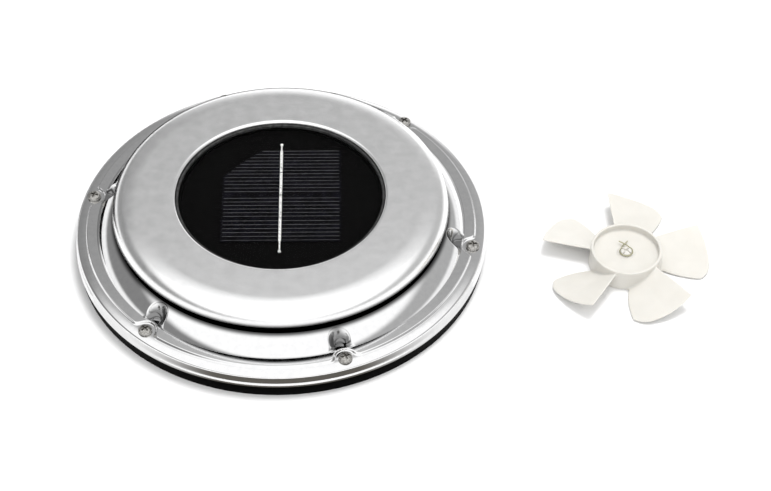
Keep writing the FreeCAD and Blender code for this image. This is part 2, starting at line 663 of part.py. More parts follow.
# ---- carrier -------------------------------------------------------------------------------
def terminal_slots(bottom, top):
    """Clearance slots for the two motor terminals."""
    x0 = BRUSH_INNER - SCREW_CLEARANCE
    x1 = BRUSH_INNER + TERMINAL_THICK + SCREW_CLEARANCE
    y0 = BRUSH_TAIL - SCREW_CLEARANCE
    y1 = BRUSH_TAIL + TERMINAL_WIDTH + SCREW_CLEARANCE
    return [box(x0, y0, bottom, x1, y1, top), box(-x1, y0, bottom, -x0, y1, top)]


def make_carrier():
    """Plate that carries the cell tray, the cap's seal and the cap's studs."""
    plate = cylinder(CARRIER_RADIUS, PLATE_BOTTOM, PLATE_TOP)
    tray_land = tube(WINDOW_RADIUS + WINDOW_SEAL, WINDOW_RADIUS - TRAY_LAND, PLATE_BOTTOM, TRAY_BOTTOM)
    seal_wall = tube(CAP_SEAL_OUTER, CAP_SEAL_INNER, PLATE_BOTTOM, CAP_UNDER - CAP_SEAL_THICK)
    stud_boss = cylinder(CAP_STUD_RADIUS + BOSS_WALL, PLATE_BOTTOM, CAP_UNDER, CAP_STUD_CIRCLE)
    stud_hole = cylinder(CAP_STUD_RADIUS + SCREW_CLEARANCE, 0, CAP_TOP, CAP_STUD_CIRCLE)
    spigot_hole = cylinder(SPIGOT_RADIUS + PILOT_CLEARANCE, 0, CAP_TOP, POST_CIRCLE)
    cuts = around(stud_hole, CAP_STUD_COUNT, CAP_STUD_ANGLE)
    cuts += around(spigot_hole, POST_COUNT, POST_ANGLE)
    cuts += terminal_slots(PLATE_BOTTOM - PAST, PLATE_TOP + PAST)
    bosses = around(stud_boss, CAP_STUD_COUNT, CAP_STUD_ANGLE)
    return fused(plate, [tray_land, seal_wall] + bosses).cut(cuts)


def make_carrier_posts():
    post = cylinder(POST_RADIUS, BASE_FLOOR, PLATE_BOTTOM, POST_CIRCLE)
    spigot = cylinder(SPIGOT_RADIUS, PLATE_BOTTOM - INTO, PLATE_TOP - SPIGOT_SHORT, POST_CIRCLE)
    pilot = cylinder(POST_SCREW_RADIUS + PILOT_CLEARANCE, 0, POST_SCREW_LENGTH + PILOT_PAST, POST_CIRCLE)
    return around(fused(post, [spigot]).cut(pilot), POST_COUNT, POST_ANGLE)


def make_motor_bracket():
    """Cup round the motor, with two screw ears and an arm to each post."""
    cup = tube(CUP_OUTER, CUP_INNER, CAN_BOTTOM, PLATE_BOTTOM)
    ear = cylinder(EAR_RADIUS, CAN_BOTTOM, PLATE_BOTTOM, EAR_CIRCLE)
    arm = box(CUP_OUTER - INTO, -RIB_WIDTH / 2, PLATE_BOTTOM - ARM_DEPTH, POST_CIRCLE, RIB_WIDTH / 2,
              PLATE_BOTTOM)
    arm = arm.cut(cylinder(POST_RADIUS, 0, CAP_TOP, POST_CIRCLE))
    ear_hole = cylinder(EAR_SCREW_RADIUS + PILOT_CLEARANCE, 0,
                        RETAINER_BOTTOM + EAR_SCREW_LENGTH + PILOT_PAST, EAR_CIRCLE)
    bore = cylinder(CUP_INNER, 0, CAP_TOP)
    return fused(cup, around(ear, 2, 0) + around(arm, POST_COUNT, POST_ANGLE)).cut(
        [bore] + around(ear_hole, 2, 0))


def make_carrier_screws():
    head = cylinder(POST_HEAD_RADIUS, SCREW_CLEARANCE, POST_HEAD_HEIGHT + SCREW_CLEARANCE)
    shank = cylinder(POST_SCREW_RADIUS, SCREW_CLEARANCE, POST_SCREW_LENGTH)
    screw = fused(head, [shank]).cut(cross_slots(POST_HEAD_RADIUS * CROSS_REACH, 0, POST_HEAD_HEIGHT / 2))
    return around(moved(screw, POST_CIRCLE, 0, 0), POST_COUNT, POST_ANGLE)


def make_motor_retainer():
    disc = cylinder(CUP_OUTER, RETAINER_BOTTOM, CAN_BOTTOM)
    ear = cylinder(EAR_RADIUS, RETAINER_BOTTOM, CAN_BOTTOM, EAR_CIRCLE)
    hole = cylinder(EAR_SCREW_RADIUS + SCREW_CLEARANCE, 0, CAN_BOTTOM + PAST, EAR_CIRCLE)
    centre = cylinder(RETAINER_HOLE, 0, CAN_BOTTOM + PAST)
    return fused(disc, around(ear, 2, 0)).cut([centre] + around(hole, 2, 0))


def make_retainer_screws():
    head = cylinder(EAR_HEAD_RADIUS, RETAINER_BOTTOM - EAR_HEAD_HEIGHT, RETAINER_BOTTOM, EAR_CIRCLE)
    shank = cylinder(EAR_SCREW_RADIUS, RETAINER_BOTTOM - INTO, RETAINER_BOTTOM + EAR_SCREW_LENGTH,
                     EAR_CIRCLE)
    return around(fused(head, [shank]), 2, 0)


# ---- motor ---------------------------------------------------------------------------------
def make_motor_can():
    outside = cylinder(MOTOR_RADIUS, CAN_BOTTOM, CAN_TOP)
    inside = cylinder(CAN_INNER, CAN_BOTTOM + CAN_WALL, CAN_TOP + PAST)
    return outside.cut([inside, cylinder(FRONT_BUSH_RADIUS, CAN_BOTTOM - PAST, CAN_TOP)])


def make_motor_end_cap():
    disc = cylinder(MOTOR_RADIUS, CAN_TOP, PLATE_BOTTOM)
    hole = cylinder(REAR_BUSH_RADIUS, CAN_TOP - PAST, PLATE_BOTTOM + PAST)
    return disc.cut([hole] + terminal_slots(CAN_TOP - PAST, PLATE_BOTTOM + PAST))


def make_front_bush():
    bottom = CAN_BOTTOM - FRONT_BUSH_PROUD
    return tube(FRONT_BUSH_RADIUS, SHAFT_RADIUS + RUNNING_CLEARANCE, bottom, bottom + FRONT_BUSH_LENGTH)


def make_rear_bush():
    return tube(REAR_BUSH_RADIUS, SHAFT_RADIUS + RUNNING_CLEARANCE, CAN_TOP + REAR_BUSH_GAP, PLATE_BOTTOM)


def make_magnets():
    ring = tube(MAGNET_OUTER, MAGNET_INNER, MAGNET_BOTTOM, MAGNET_BOTTOM + MAGNET_LENGTH)
    half = math.radians(MAGNET_ARC / 2)
    far = 3 * MOTOR_RADIUS
    wedge = prism(polygon([V(0, 0, 0), V(far * math.cos(half), -far * math.sin(half), 0),
                           V(far, -far * math.sin(half), 0), V(far, far * math.sin(half), 0),
                           V(far * math.cos(half), far * math.sin(half), 0)]), CAP_TOP)
    return around(ring.common(wedge), 2, 0)


def make_brushes():
    leaf = box(BRUSH_INNER, -BRUSH_PAST, BRUSH_BOTTOM, BRUSH_INNER + BRUSH_THICK, BRUSH_TAIL,
               BRUSH_BOTTOM + BRUSH_HEIGHT)
    return [leaf, leaf.mirror(ORIGIN, V(1, 0, 0))]


def make_terminals():
    tab = box(BRUSH_INNER, BRUSH_TAIL, BRUSH_BOTTOM, BRUSH_INNER + TERMINAL_THICK,
              BRUSH_TAIL + TERMINAL_WIDTH, PLATE_TOP + TERMINAL_ABOVE)
    return [tab, tab.mirror(ORIGIN, V(1, 0, 0))]


def make_shaft():
    return cylinder(SHAFT_RADIUS, SHAFT_BOTTOM, PLATE_BOTTOM - SHAFT_END_GAP)


def pole_slots(bottom, top):
    """Gaps between the armature's pole shoes."""
    gap = box(SHAFT_RADIUS, -SLOT_WIDTH / 2, bottom, 2 * CORE_RADIUS, SLOT_WIDTH / 2, top)
    return around(gap, POLE_COUNT, 180.0 / POLE_COUNT)


def make_armature_core():
    top = CORE_BOTTOM + CORE_LENGTH
    hub = cylinder(CORE_HUB_RADIUS, CORE_BOTTOM, top)
    shoes = tube(CORE_RADIUS, CORE_RADIUS - SHOE_THICK, CORE_BOTTOM, top)
    shoes = shoes.cut(pole_slots(CORE_BOTTOM - PAST, top + PAST))
    pole = box(0, -POLE_WIDTH / 2, CORE_BOTTOM, CORE_RADIUS - SHOE_THICK / 2, POLE_WIDTH / 2, top)
    core = fused(hub, around(pole, POLE_COUNT, 0) + shoes.Solids)
    return core.cut(cylinder(SHAFT_RADIUS, 0, CAP_TOP))


def make_windings():
    low = CORE_BOTTOM - WINDING_OVERHANG
    top = CORE_BOTTOM + CORE_LENGTH + WINDING_OVERHANG
    inner = CORE_HUB_RADIUS + WINDING_HUB_GAP
    outer = CORE_RADIUS - SHOE_THICK - WINDING_SHOE_GAP
    half = POLE_WIDTH / 2 + WINDING_SIDE
    coil = box(inner, -half, low, outer - WINDING_END_GAP, half, top)
    pole = box(0, -POLE_WIDTH / 2, CORE_BOTTOM, CORE_RADIUS, POLE_WIDTH / 2, CORE_BOTTOM + CORE_LENGTH)
    limit = cylinder(outer, low, top)
    return around(coil.cut(pole).common(limit), POLE_COUNT, 0)


def make_commutator():
    return tube(COMMUTATOR_RADIUS, SHAFT_RADIUS, COMMUTATOR_BOTTOM, COMMUTATOR_BOTTOM + COMMUTATOR_LENGTH)


def make_thrust_washer():
    bottom = CAN_BOTTOM - FRONT_BUSH_PROUD + FRONT_BUSH_LENGTH + WASHER_PLAY
    return tube(WASHER_RADIUS, SHAFT_RADIUS, bottom, CORE_BOTTOM)


# ---- leads ---------------------------------------------------------------------------------
def lead_path(points):
    """Straight runs joined by tangent arcs, each as large as its two runs allow."""
    edges = []
    start = points[0]
    for k in range(1, len(points) - 1):
        into = points[k] - points[k - 1]
        away = points[k + 1] - points[k]
        half_turn = into.getAngle(away) / 2
        setback = 0.45 * min(into.Length, away.Length)
        first = points[k] - into.normalize() * setback
        last = points[k] + away.normalize() * setback
        radius = setback / math.tan(half_turn)
        bisector = (away - into).normalize()
        middle = points[k] + bisector * (radius / math.cos(half_turn) - radius)
        edges.append(line(start, first))
        edges.append(arc(first, middle, last))
        start = last
    edges.append(line(start, points[-1]))
    return Part.Wire(edges)


def swept(path, diameter, start, ahead, frenet=False):
    """Round wire along a path that starts in the direction ahead."""
    section = Part.makeCircle(diameter / 2, start, ahead)
    wire = path.makePipeShell([Part.Wire(section)], True, frenet)
    expected = math.pi * diameter ** 2 / 4 * path.Length
    if abs(wire.Volume / expected - 1) > 0.01:
        raise ValueError("the wire's volume isn't its section times its length")
    return wire


def lead(points):
    return swept(lead_path(points), LEAD_DIAMETER, points[0], points[1] - points[0])


def lead_points(side, tail):
    """From a terminal's side face, round the terminal, to under a solder pin."""
    x = side * (BRUSH_INNER + TERMINAL_THICK)
    y = BRUSH_TAIL + TERMINAL_WIDTH / 2
    sweep = LEAD_SWEEP * side
    bend_y = y if tail.y > 0 else -y
    return [V(x, y, LEAD_HEIGHT), V(x + sweep, y + LEAD_KICK, LEAD_HEIGHT),
            V(x + LEAD_BULGE * sweep, (bend_y + tail.y) / 2, LEAD_HEIGHT),
            V(tail.x, tail.y, LEAD_HEIGHT)]


def make_leads():
    back, front = tail_points()
    return lead(lead_points(1, back)), lead(lead_points(-1, front))


# ---- impellers -----------------------------------------------------------------------------
def blade():
    """One paddle blade on the +X axis: its edge on the +Y side is the high one."""
    sections = []
    root = HUB_RADIUS - HUB_WALL / 2
    for share in (0.0, 0.5, 1.0):
        radius = root + (IMPELLER_RADIUS + BLADE_PAST - root) * share
        half = (BLADE_ROOT_CHORD + (BLADE_TIP_CHORD - BLADE_ROOT_CHORD) * share) / 2
        low = BLADE_LOW + BLADE_TWIST * (1 - share)
        high = BLADE_HIGH - BLADE_TWIST * share
        thick = BLADE_THICK / 2
        points = [V(radius, -half, low - thick), V(radius, half, high - thick),
                  V(radius, half, high + thick), V(radius, -half, low + thick)]
        sections.append(Part.Wire(polygon(points)))
    slab = Part.makeLoft(sections, True, True)
    tip = cylinder(IMPELLER_RADIUS, -HUB_HEIGHT, 2 * HUB_HEIGHT)
    half_tip = BLADE_TIP_CHORD / 2
    reach = math.sqrt(IMPELLER_RADIUS ** 2 - half_tip ** 2)
    x = reach - BLADE_CORNER + BLADE_CORNER_OUT
    y = -half_tip + BLADE_CORNER
    corner = box(x, -IMPELLER_RADIUS, -HUB_HEIGHT, 2 * IMPELLER_RADIUS, y, 2 * HUB_HEIGHT)
    corner = corner.cut(cylinder(BLADE_CORNER, -2 * HUB_HEIGHT, 3 * HUB_HEIGHT, x, y))
    level = box(0, -IMPELLER_RADIUS, 0, 2 * IMPELLER_RADIUS, IMPELLER_RADIUS, HUB_HEIGHT)
    return slab.common(tip).common(level).cut(corner)


def impeller():
    """Intake impeller, its foot at z = 0 and its open cup upwards."""
    top = HUB_RADIUS
    foot = HUB_RADIUS + HUB_TAPER
    outside = Part.makeCone(foot, top, HUB_HEIGHT, ORIGIN, UP)
    inside = Part.makeCone(foot - HUB_WALL, top - HUB_WALL, HUB_HEIGHT, ORIGIN, UP)
    web = cylinder(top - HUB_WALL / 2, HUB_WEB_TOP - HUB_WEB, HUB_WEB_TOP)
    boss = cylinder(BOSS_RADIUS, HUB_WEB_TOP - HUB_WEB - BOSS_BELOW, HUB_WEB_TOP + BOSS_PROUD)
    collet = cylinder(COLLET_RADIUS, HUB_WEB_TOP, HUB_WEB_TOP + COLLET_PROUD)
    wall = outside.cut(inside)
    blades = around(blade().cut(inside), BLADE_COUNT, 0)
    body = fused(wall, [web, boss, collet] + blades)
    bore = cylinder(SHAFT_RADIUS, -PAST, HUB_HEIGHT + PAST)
    slot = box(-BOSS_RADIUS - PAST, -COLLET_SLOT / 2, HUB_WEB_TOP, BOSS_RADIUS + PAST, COLLET_SLOT / 2,
               HUB_HEIGHT + PAST)
    return body.cut([bore, turned(slot, 45), turned(slot, 135)])


def shaft_clip():
    """Wire that grips the collet, with its two ends crossing behind it."""
    low = HUB_WEB_TOP + BOSS_PROUD + CLIP_WIRE / 2 + CLIP_PLAY
    rise = CLIP_WIRE + CLIP_GAP
    radius = COLLET_RADIUS + CLIP_WIRE / 2 + CLIP_PLAY
    first = 90 + CLIP_OPENING
    span = 360 - 2 * CLIP_OPENING
    points = [V(-x, y, low) for x, y in reversed(CLIP_TAIL)]
    for k in range(CLIP_STEPS + 1):
        share = k / CLIP_STEPS
        a = math.radians(first + span * share)
        points.append(V(radius * math.cos(a), radius * math.sin(a), low + rise * share))
    points += [V(x, y, low + rise) for x, y in CLIP_TAIL]
    curve = Part.BSplineCurve()
    curve.interpolate(points)
    ahead = curve.tangent(curve.FirstParameter)[0]
    return swept(Part.Wire(curve.toShape()), CLIP_WIRE, points[0], ahead, True)


def spare_place(shape):
    return moved(turned(shape, SPARE_ANGLE), SPARE_X, SPARE_Y, 0)


def fitted_place(shape):
    """The opposite hand, on the motor's shaft."""
    return moved(shape.mirror(ORIGIN, V(0, 1, 0)), 0, 0, ROTOR_CLEARANCE)


# ---- every node ----------------------------------------------------------------------------
def main():
    os.makedirs("parts", exist_ok=True)
    positive_lead, negative_lead = make_leads()
    save("base", make_base())
    save("roof_gasket", gasket_ring())
    save("trim_ring", make_trim_ring())
    save("trim_screws", make_trim_screws())
    save("rain_cap", make_cap())
    save("cap_studs", make_cap_studs())
    save("cap_nuts", make_cap_nuts())
    save("cap_seal", make_cap_seal())
    save("window", make_window())
    save("window_seal", make_window_seal())
    save("cell_tray", make_tray())
    save("solar_cells", make_cells())
    save("cell_fingers", make_fingers())
    save("cell_ribbons", make_ribbons())
    save("solder_tails", make_solder_tails())
    save("positive_lead", positive_lead)
    save("negative_lead", negative_lead)
    save("carrier", make_carrier())
    save("carrier_posts", make_carrier_posts())
    save("motor_bracket", make_motor_bracket())
    save("carrier_screws", make_carrier_screws())
    save("motor_retainer", make_motor_retainer())
    save("retainer_screws", make_retainer_screws())
    save("motor_can", make_motor_can())
    save("motor_end_cap", make_motor_end_cap())
    save("front_bush", make_front_bush())
    save("rear_bush", make_rear_bush())
    save("motor_magnets", make_magnets())
    save("motor_brushes", make_brushes())
    save("motor_terminals", make_terminals())
    save("motor_shaft", make_shaft())
    save("armature_core", make_armature_core())
    save("armature_windings", make_windings())
    save("commutator", make_commutator())
    save("thrust_washer", make_thrust_washer())
    save("exhaust_impeller", fitted_place(impeller()))
    save("exhaust_shaft_clip", fitted_place(shaft_clip()))
    save("intake_impeller", spare_place(impeller()))
    save("intake_shaft_clip", spare_place(shaft_clip()))


main()
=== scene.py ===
"""Looks of the solar roof vent fan and its spare impeller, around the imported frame.

The constants are in millimetres and degrees, and the meshes in metres. Heights and radii of the
replaced pieces come from the frame's boxes. Colours are linear.
"""
import json
import math

import bpy
import numpy as np
from mathutils import Matrix, Vector


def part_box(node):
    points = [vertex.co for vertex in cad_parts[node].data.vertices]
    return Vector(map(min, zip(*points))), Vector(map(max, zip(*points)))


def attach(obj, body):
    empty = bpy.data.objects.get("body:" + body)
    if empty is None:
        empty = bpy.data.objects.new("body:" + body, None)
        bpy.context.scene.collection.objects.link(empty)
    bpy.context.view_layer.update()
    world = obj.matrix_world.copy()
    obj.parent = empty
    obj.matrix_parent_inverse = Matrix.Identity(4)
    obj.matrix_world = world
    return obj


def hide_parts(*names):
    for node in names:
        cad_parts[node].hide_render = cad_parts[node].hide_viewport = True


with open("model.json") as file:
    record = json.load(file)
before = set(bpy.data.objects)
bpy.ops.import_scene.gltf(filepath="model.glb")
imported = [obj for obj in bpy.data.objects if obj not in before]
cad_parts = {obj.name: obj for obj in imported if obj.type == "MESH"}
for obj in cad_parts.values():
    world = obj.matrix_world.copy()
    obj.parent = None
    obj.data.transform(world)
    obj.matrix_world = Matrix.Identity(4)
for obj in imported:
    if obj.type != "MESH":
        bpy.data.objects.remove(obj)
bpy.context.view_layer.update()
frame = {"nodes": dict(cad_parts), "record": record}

MM = 0.001

# ---- trim ring -----------------------------------------------------------------------------
SHEET = 0.8
STEP_INSET = 6.2             # from the trim ring's edge to the step
STEP_RISE = 1.0
STEP_HALF = 0.5              # half the width of the step's slope
RING_WIDTH = 5.6             # level ring between the step and the skirt
RING_BELOW = 6.4             # the ring's level under the CAD node's rim
SKIRT_RISE = 8.2
RIM_SETBACK = 0.7            # the skirt's rim from the rain cap's edge
SKIRT_BULGE = 0.9
FLANGE_CROWN = 0.4           # how far the flange falls towards the lip
LIP_CORNER = 1.7
LIP_SETBACK = 0.7            # the lip's wall from the ring's outside
HEM_HEIGHT = 2.9             # the lip flares out over this height
SCREW_INSET = 6.5
SCREW_COUNT = 6
SCREW_ANGLE = -13.5
RECESS_RADIUS = 5.7
RECESS_BLEND = 3.0           # rounding where the step meets a screw's recess
NICHE_RADIUS = 5.2
NICHE_REACH = 13.5           # from the screw's axis to the back of the niche
NICHE_FLARE = 3.5
NICHE_HOLLOW = 3.4           # width of the niche's hollow inside its outline
NICHE_FOLD = 1.1             # width of the rounded fold outside its outline
GRID = 0.25                  # between the flange's rows of points
SKIRT_GRID = 0.3             # between the skirt's rows of points
SCREW_ZONE = 10.0            # degrees each side of a screw with columns close together
FINE_TURN = 0.17
COARSE_TURN = 0.8
# painted shade on the trim ring: darker by the cap's gap, in the niches and along the crease, with a
# lighter middle painted into each niche
GAP_RADII = (88.6, 91.4)     # the painted shade of the cap's gap fades out between these radii
GAP_SHADE = 0.92
NICHE_SHADE = 0.72
NICHE_SHADE_EDGE = (0.6, 0.9)
NICHE_LIGHT = 0.45           # how much lighter the niche's middle is, painted light within the niche's painted shade
NICHE_LIGHT_EDGE = (-2.2, 4.2, 3.0)
CREASE_SHADE = 0.75
CREASE_LEVEL = 0.16          # height of the painted dark line above the ring
CREASE_SPREAD = 0.14

# ---- screws --------------------------------------------------------------------------------
HEAD_RADIUS = 3.6
HEAD_HEIGHT = 2.3
CROSS_WIDTH = 0.85
CROSS_REACH = 2.1
CROSS_DEPTH = 1.3
HEAD_EDGE = 0.75             # height of the head's side under its dome
SHANK_RADIUS = 1.5
SHANK_INTO = 0.2             # the shank reaches this far into the head
SHANK_POINT = 1.5
SHANK_TIP = 0.2
SCREW_TURNS = (92, 48, 15, 70, 40, 22)

# ---- rain cap and window seal --------------------------------------------------------------
CAP_SHEET = 0.7
SHOULDER = 8.0
CROWN_SLOPE = 10.0           # slope where the rounded edge starts
CROWN_WIDTH = 14.15          # from the crown's start to the cap's edge
# painted shade along the rain cap's edge
EDGE_SHADE = 0.85
EDGE_SHADE_TOP = 3.2         # the painted shade darkens the metal from this height above the edge
EDGE_SHADE_FOOT = 0.2
EDGE_SHADE_TURN = 1.2        # height where the painted shade darkens fastest
FLAT_MARGIN = 1.0            # the flat's first and last point from its neighbours
WINDOW_ROLL = 1.5
WINDOW_LIP = 0.8
SEAL_GAP = 0.1

# ---- impellers -----------------------------------------------------------------------------
IMPELLER_RADIUS = 45.0
HUB_RADIUS = 18.9
HUB_HEIGHT = 12.0
HUB_TAPER = 0.5
HUB_WALL = 1.5
WEB_TOP = 8.0
WEB_THICK = 1.5
BOSS_RADIUS = 4.3
BOSS_PROUD = 0.9
COLLET_RADIUS = 3.0
COLLET_PROUD = 2.6
BOSS_BELOW = 5.0
BORE_RADIUS = 1.0
SLOT_WIDTH = 0.6
SLOT_DEPTH = 1.2
COLLET_DOME = 1.0
COLLET_TURN = 45.0
BLADE_COUNT = 5
BLADE_THICK = 1.4
ROOT_HALF = 8.5              # half the blade's width at the hub
TIP_HALF = 15.2              # from the blade's axis to its high side at the tip
LOW_HALF = 17.8              # from the blade's axis to its low side at the tip
BLADE_HIGH = 10.2
BLADE_LOW = 0.95
BLADE_CAMBER = 1.1
ROOT_CAMBER = 0.4            # share of the camber at the hub
TIP_THINNING = 0.35          # share of the thickness lost towards the tip
SIDE_THINNING = 0.25         # share lost towards both sides
TIP_CORNER = 11.0            # radius of the low side's corner
TIP_CORNER_OUT = 3.0         # how far that corner is moved out
SPARE_ANGLE = 4.0
VOXEL = 0.45


# ---- materials -----------------------------------------------------------------------------
def new_material(name, colour, roughness, metallic=0.0, **sockets):
    material = bpy.data.materials.new(name)
    material.use_nodes = True
    shader = material.node_tree.nodes["Principled BSDF"]
    shader.inputs["Base Color"].default_value = (*colour, 1)
    shader.inputs["Roughness"].default_value = roughness
    shader.inputs["Metallic"].default_value = metallic
    for socket, value in sockets.items():
        shader.inputs[socket.replace("_", " ")].default_value = value
    return material


def noise_factor(material, size, stretch=(1, 1, 1), detail=3.0):
    """Noise between 0 and 1 with features of the given size in millimetres."""
    tree = material.node_tree
    place = tree.nodes.new("ShaderNodeTexCoord")
    mapping = tree.nodes.new("ShaderNodeMapping")
    mapping.inputs["Scale"].default_value = stretch
    noise = tree.nodes.new("ShaderNodeTexNoise")
    noise.inputs["Scale"].default_value = 1 / (size * MM)
    noise.inputs["Detail"].default_value = detail
    tree.links.new(place.outputs["Object"], mapping.inputs["Vector"])
    tree.links.new(mapping.outputs["Vector"], noise.inputs["Vector"])
    return noise.outputs["Fac"]


def vary_roughness(material, size, low, high):
    tree = material.node_tree
    span = tree.nodes.new("ShaderNodeMapRange")
    span.inputs["From Min"].default_value = 0.3
    span.inputs["From Max"].default_value = 0.7
    span.inputs["To Min"].default_value = low
    span.inputs["To Max"].default_value = high
    tree.links.new(noise_factor(material, size), span.inputs["Value"])
    shader = tree.nodes["Principled BSDF"]
    tree.links.new(span.outputs["Result"], shader.inputs["Roughness"])


def vary_colour(material, size, first, second, low=0.35, high=0.65, stretch=(1, 1, 1)):
    tree = material.node_tree
    ramp = tree.nodes.new("ShaderNodeValToRGB")
    ramp.color_ramp.elements[0].position = low
    ramp.color_ramp.elements[0].color = (*first, 1)
    ramp.color_ramp.elements[1].position = high
    ramp.color_ramp.elements[1].color = (*second, 1)
    tree.links.new(noise_factor(material, size, stretch), ramp.inputs["Fac"])
    shader = tree.nodes["Principled BSDF"]
    tree.links.new(ramp.outputs["Color"], shader.inputs["Base Color"])


def add_bump(material, size, depth):
    """Surface relief from noise, its depth in millimetres."""
    tree = material.node_tree
    bump = tree.nodes.new("ShaderNodeBump")
    bump.inputs["Strength"].default_value = 1.0
    bump.inputs["Distance"].default_value = depth * MM
    tree.links.new(noise_factor(material, size, detail=2.0), bump.inputs["Height"])
    shader = tree.nodes["Principled BSDF"]
    tree.links.new(bump.outputs["Normal"], shader.inputs["Normal"])


def use_painted_shade(material):
    """Multiplies the colour by the painted shade stored on the mesh."""
    tree = material.node_tree
    shader = tree.nodes["Principled BSDF"]
    colour = shader.inputs["Base Color"].links[0].from_socket
    painted_shade = tree.nodes.new("ShaderNodeAttribute")
    painted_shade.attribute_name = "painted_shade"
    scale = tree.nodes.new("ShaderNodeVectorMath")
    scale.operation = "SCALE"
    tree.links.new(colour, scale.inputs[0])
    tree.links.new(painted_shade.outputs["Fac"], scale.inputs["Scale"])
    tree.links.new(scale.outputs["Vector"], shader.inputs["Base Color"])


# stores the painted shade, a share of the colour, on the mesh's points
def set_painted_shade(mesh, values):
    painted_shade = mesh.attributes.new("painted_shade", "FLOAT", "POINT")
    painted_shade.data.foreach_set("value", np.asarray(values, dtype=np.float32))


def cap_steel():
    material = new_material("satin_stainless", (0.94, 0.94, 0.94), 0.24, 1.0)
    vary_colour(material, 1.1, (0.92, 0.92, 0.925), (0.96, 0.96, 0.96))
    vary_roughness(material, 6.0, 0.21, 0.27)
    add_bump(material, 0.7, 0.004)
    # painted shade: the colour is multiplied by the shade stored on the rain cap's mesh
    use_painted_shade(material)
    return material


def trim_steel():
    material = new_material("polished_stainless", (0.80, 0.80, 0.80), 0.07, 1.0)
    vary_colour(material, 3.0, (0.78, 0.78, 0.785), (0.82, 0.82, 0.82))
    vary_roughness(material, 9.0, 0.05, 0.10)
    # painted shade: the colour is multiplied by the shade stored on the trim ring's mesh
    use_painted_shade(material)
    return material


def screw_steel():
    material = new_material("zinc_screw", (0.42, 0.41, 0.39), 0.3, 1.0)
    vary_colour(material, 0.9, (0.30, 0.29, 0.27), (0.52, 0.51, 0.49))
    vary_roughness(material, 0.6, 0.22, 0.42)
    add_bump(material, 0.25, 0.01)
    return material


def black_plastic(name, colour, roughness, grain):
    material = new_material(name, colour, roughness, Specular_IOR_Level=0.03)
    lighter = tuple(2.2 * c for c in colour)
    vary_colour(material, 1.6, colour, lighter)
    vary_roughness(material, 1.2, roughness - 0.08, roughness + 0.1)
    add_bump(material, grain, 0.02)
    return material


def window_clear():
    material = new_material("clear_window", (0.002, 0.002, 0.002), 0.04, Alpha=0.03, IOR=1.45)
    vary_roughness(material, 14.0, 0.02, 0.06)
    return material


def cell_silicon():
    material = new_material("silicon", (0.003, 0.003, 0.006), 0.35, Specular_IOR_Level=0.04)
    vary_colour(material, 5.5, (0.0010, 0.0010, 0.0016), (0.0035, 0.0035, 0.006), 0.42, 0.62)
    vary_roughness(material, 3.0, 0.3, 0.45)
    return material


def finger_silver():
    material = new_material("printed_silver", (0.06, 0.06, 0.062), 0.5, Specular_IOR_Level=0.2)
    vary_colour(material, 2.4, (0.035, 0.035, 0.037), (0.075, 0.075, 0.08), stretch=(1, 3, 1))
    return material


def ribbon_tin():
    material = new_material("tinned_ribbon", (0.8, 0.8, 0.79), 0.4, 0.25)
    vary_colour(material, 0.55, (0.30, 0.30, 0.29), (0.90, 0.90, 0.88), 0.36, 0.50)
    add_bump(material, 0.5, 0.05)
    return material


def ivory_plastic():
    material = new_material("ivory_plastic", (0.665, 0.647, 0.603), 0.36, Subsurface_Weight=0.2,
                            Subsurface_Scale=0.002, Subsurface_Radius=(1.0, 0.9, 0.8), IOR=1.5)
    vary_colour(material, 9.0, (0.655, 0.637, 0.593), (0.68, 0.662, 0.618))
    vary_roughness(material, 2.0, 0.30, 0.42)
    add_bump(material, 0.8, 0.006)
    return material


def plain(name, colour, roughness, metallic=0.0):
    """Material with a soft mottle, for the small inner pieces."""
    size = 1.5
    material = new_material(name, colour, roughness, metallic)
    darker = tuple(0.8 * c for c in colour)
    vary_colour(material, size, darker, colour)
    vary_roughness(material, size, roughness - 0.06, roughness + 0.08)
    return material


MATERIALS = {
    "cap_steel": cap_steel(),
    "trim_steel": trim_steel(),
    "screw_steel": screw_steel(),
    "base_plastic": black_plastic("black_plastic", (0.001, 0.001, 0.001), 0.45, 0.5),
    "tray_plastic": black_plastic("tray_plastic", (0.0006, 0.0006, 0.0006), 0.5, 0.8),
    "foam_rubber": black_plastic("foam_rubber", (0.012, 0.012, 0.012), 0.8, 0.4),
    "seal_rubber": black_plastic("seal_rubber", (0.03, 0.03, 0.03), 0.5, 0.3),
    "motor_plastic": black_plastic("motor_plastic", (0.02, 0.02, 0.022), 0.4, 0.4),
    "window_clear": window_clear(),
    "cell_silicon": cell_silicon(),
    "finger_silver": finger_silver(),
    "ribbon_tin": ribbon_tin(),
    "lead_red": plain("red_lead", (0.50, 0.03, 0.02), 0.4),
    "lead_black": plain("black_lead", (0.02, 0.02, 0.02), 0.4),
    "motor_steel": plain("motor_steel", (0.55, 0.55, 0.54), 0.3, 1.0),
    "bush_bronze": plain("bush_bronze", (0.55, 0.36, 0.18), 0.4, 1.0),
    "magnet_ferrite": plain("ferrite", (0.05, 0.05, 0.055), 0.7),
    "copper": plain("copper", (0.78, 0.40, 0.24), 0.3, 1.0),
    "impeller_plastic": ivory_plastic(),
    "clip_steel": plain("clip_steel", (0.50, 0.48, 0.32), 0.4, 0.6),
}


# ---- mesh helpers --------------------------------------------------------------------------
def new_piece(name, mesh, sharp=35.0):
    piece = bpy.data.objects.new(name, mesh)
    bpy.context.scene.collection.objects.link(piece)
    mesh.shade_smooth()
    mesh.set_sharp_from_angle(angle=math.radians(sharp))
    return piece


def mesh_of(name, points, faces):
    """Mesh of points in millimetres."""
    mesh = bpy.data.meshes.new(name)
    mesh.from_pydata([tuple(p) for p in np.asarray(points) * MM], [], faces)
    mesh.validate()
    return mesh


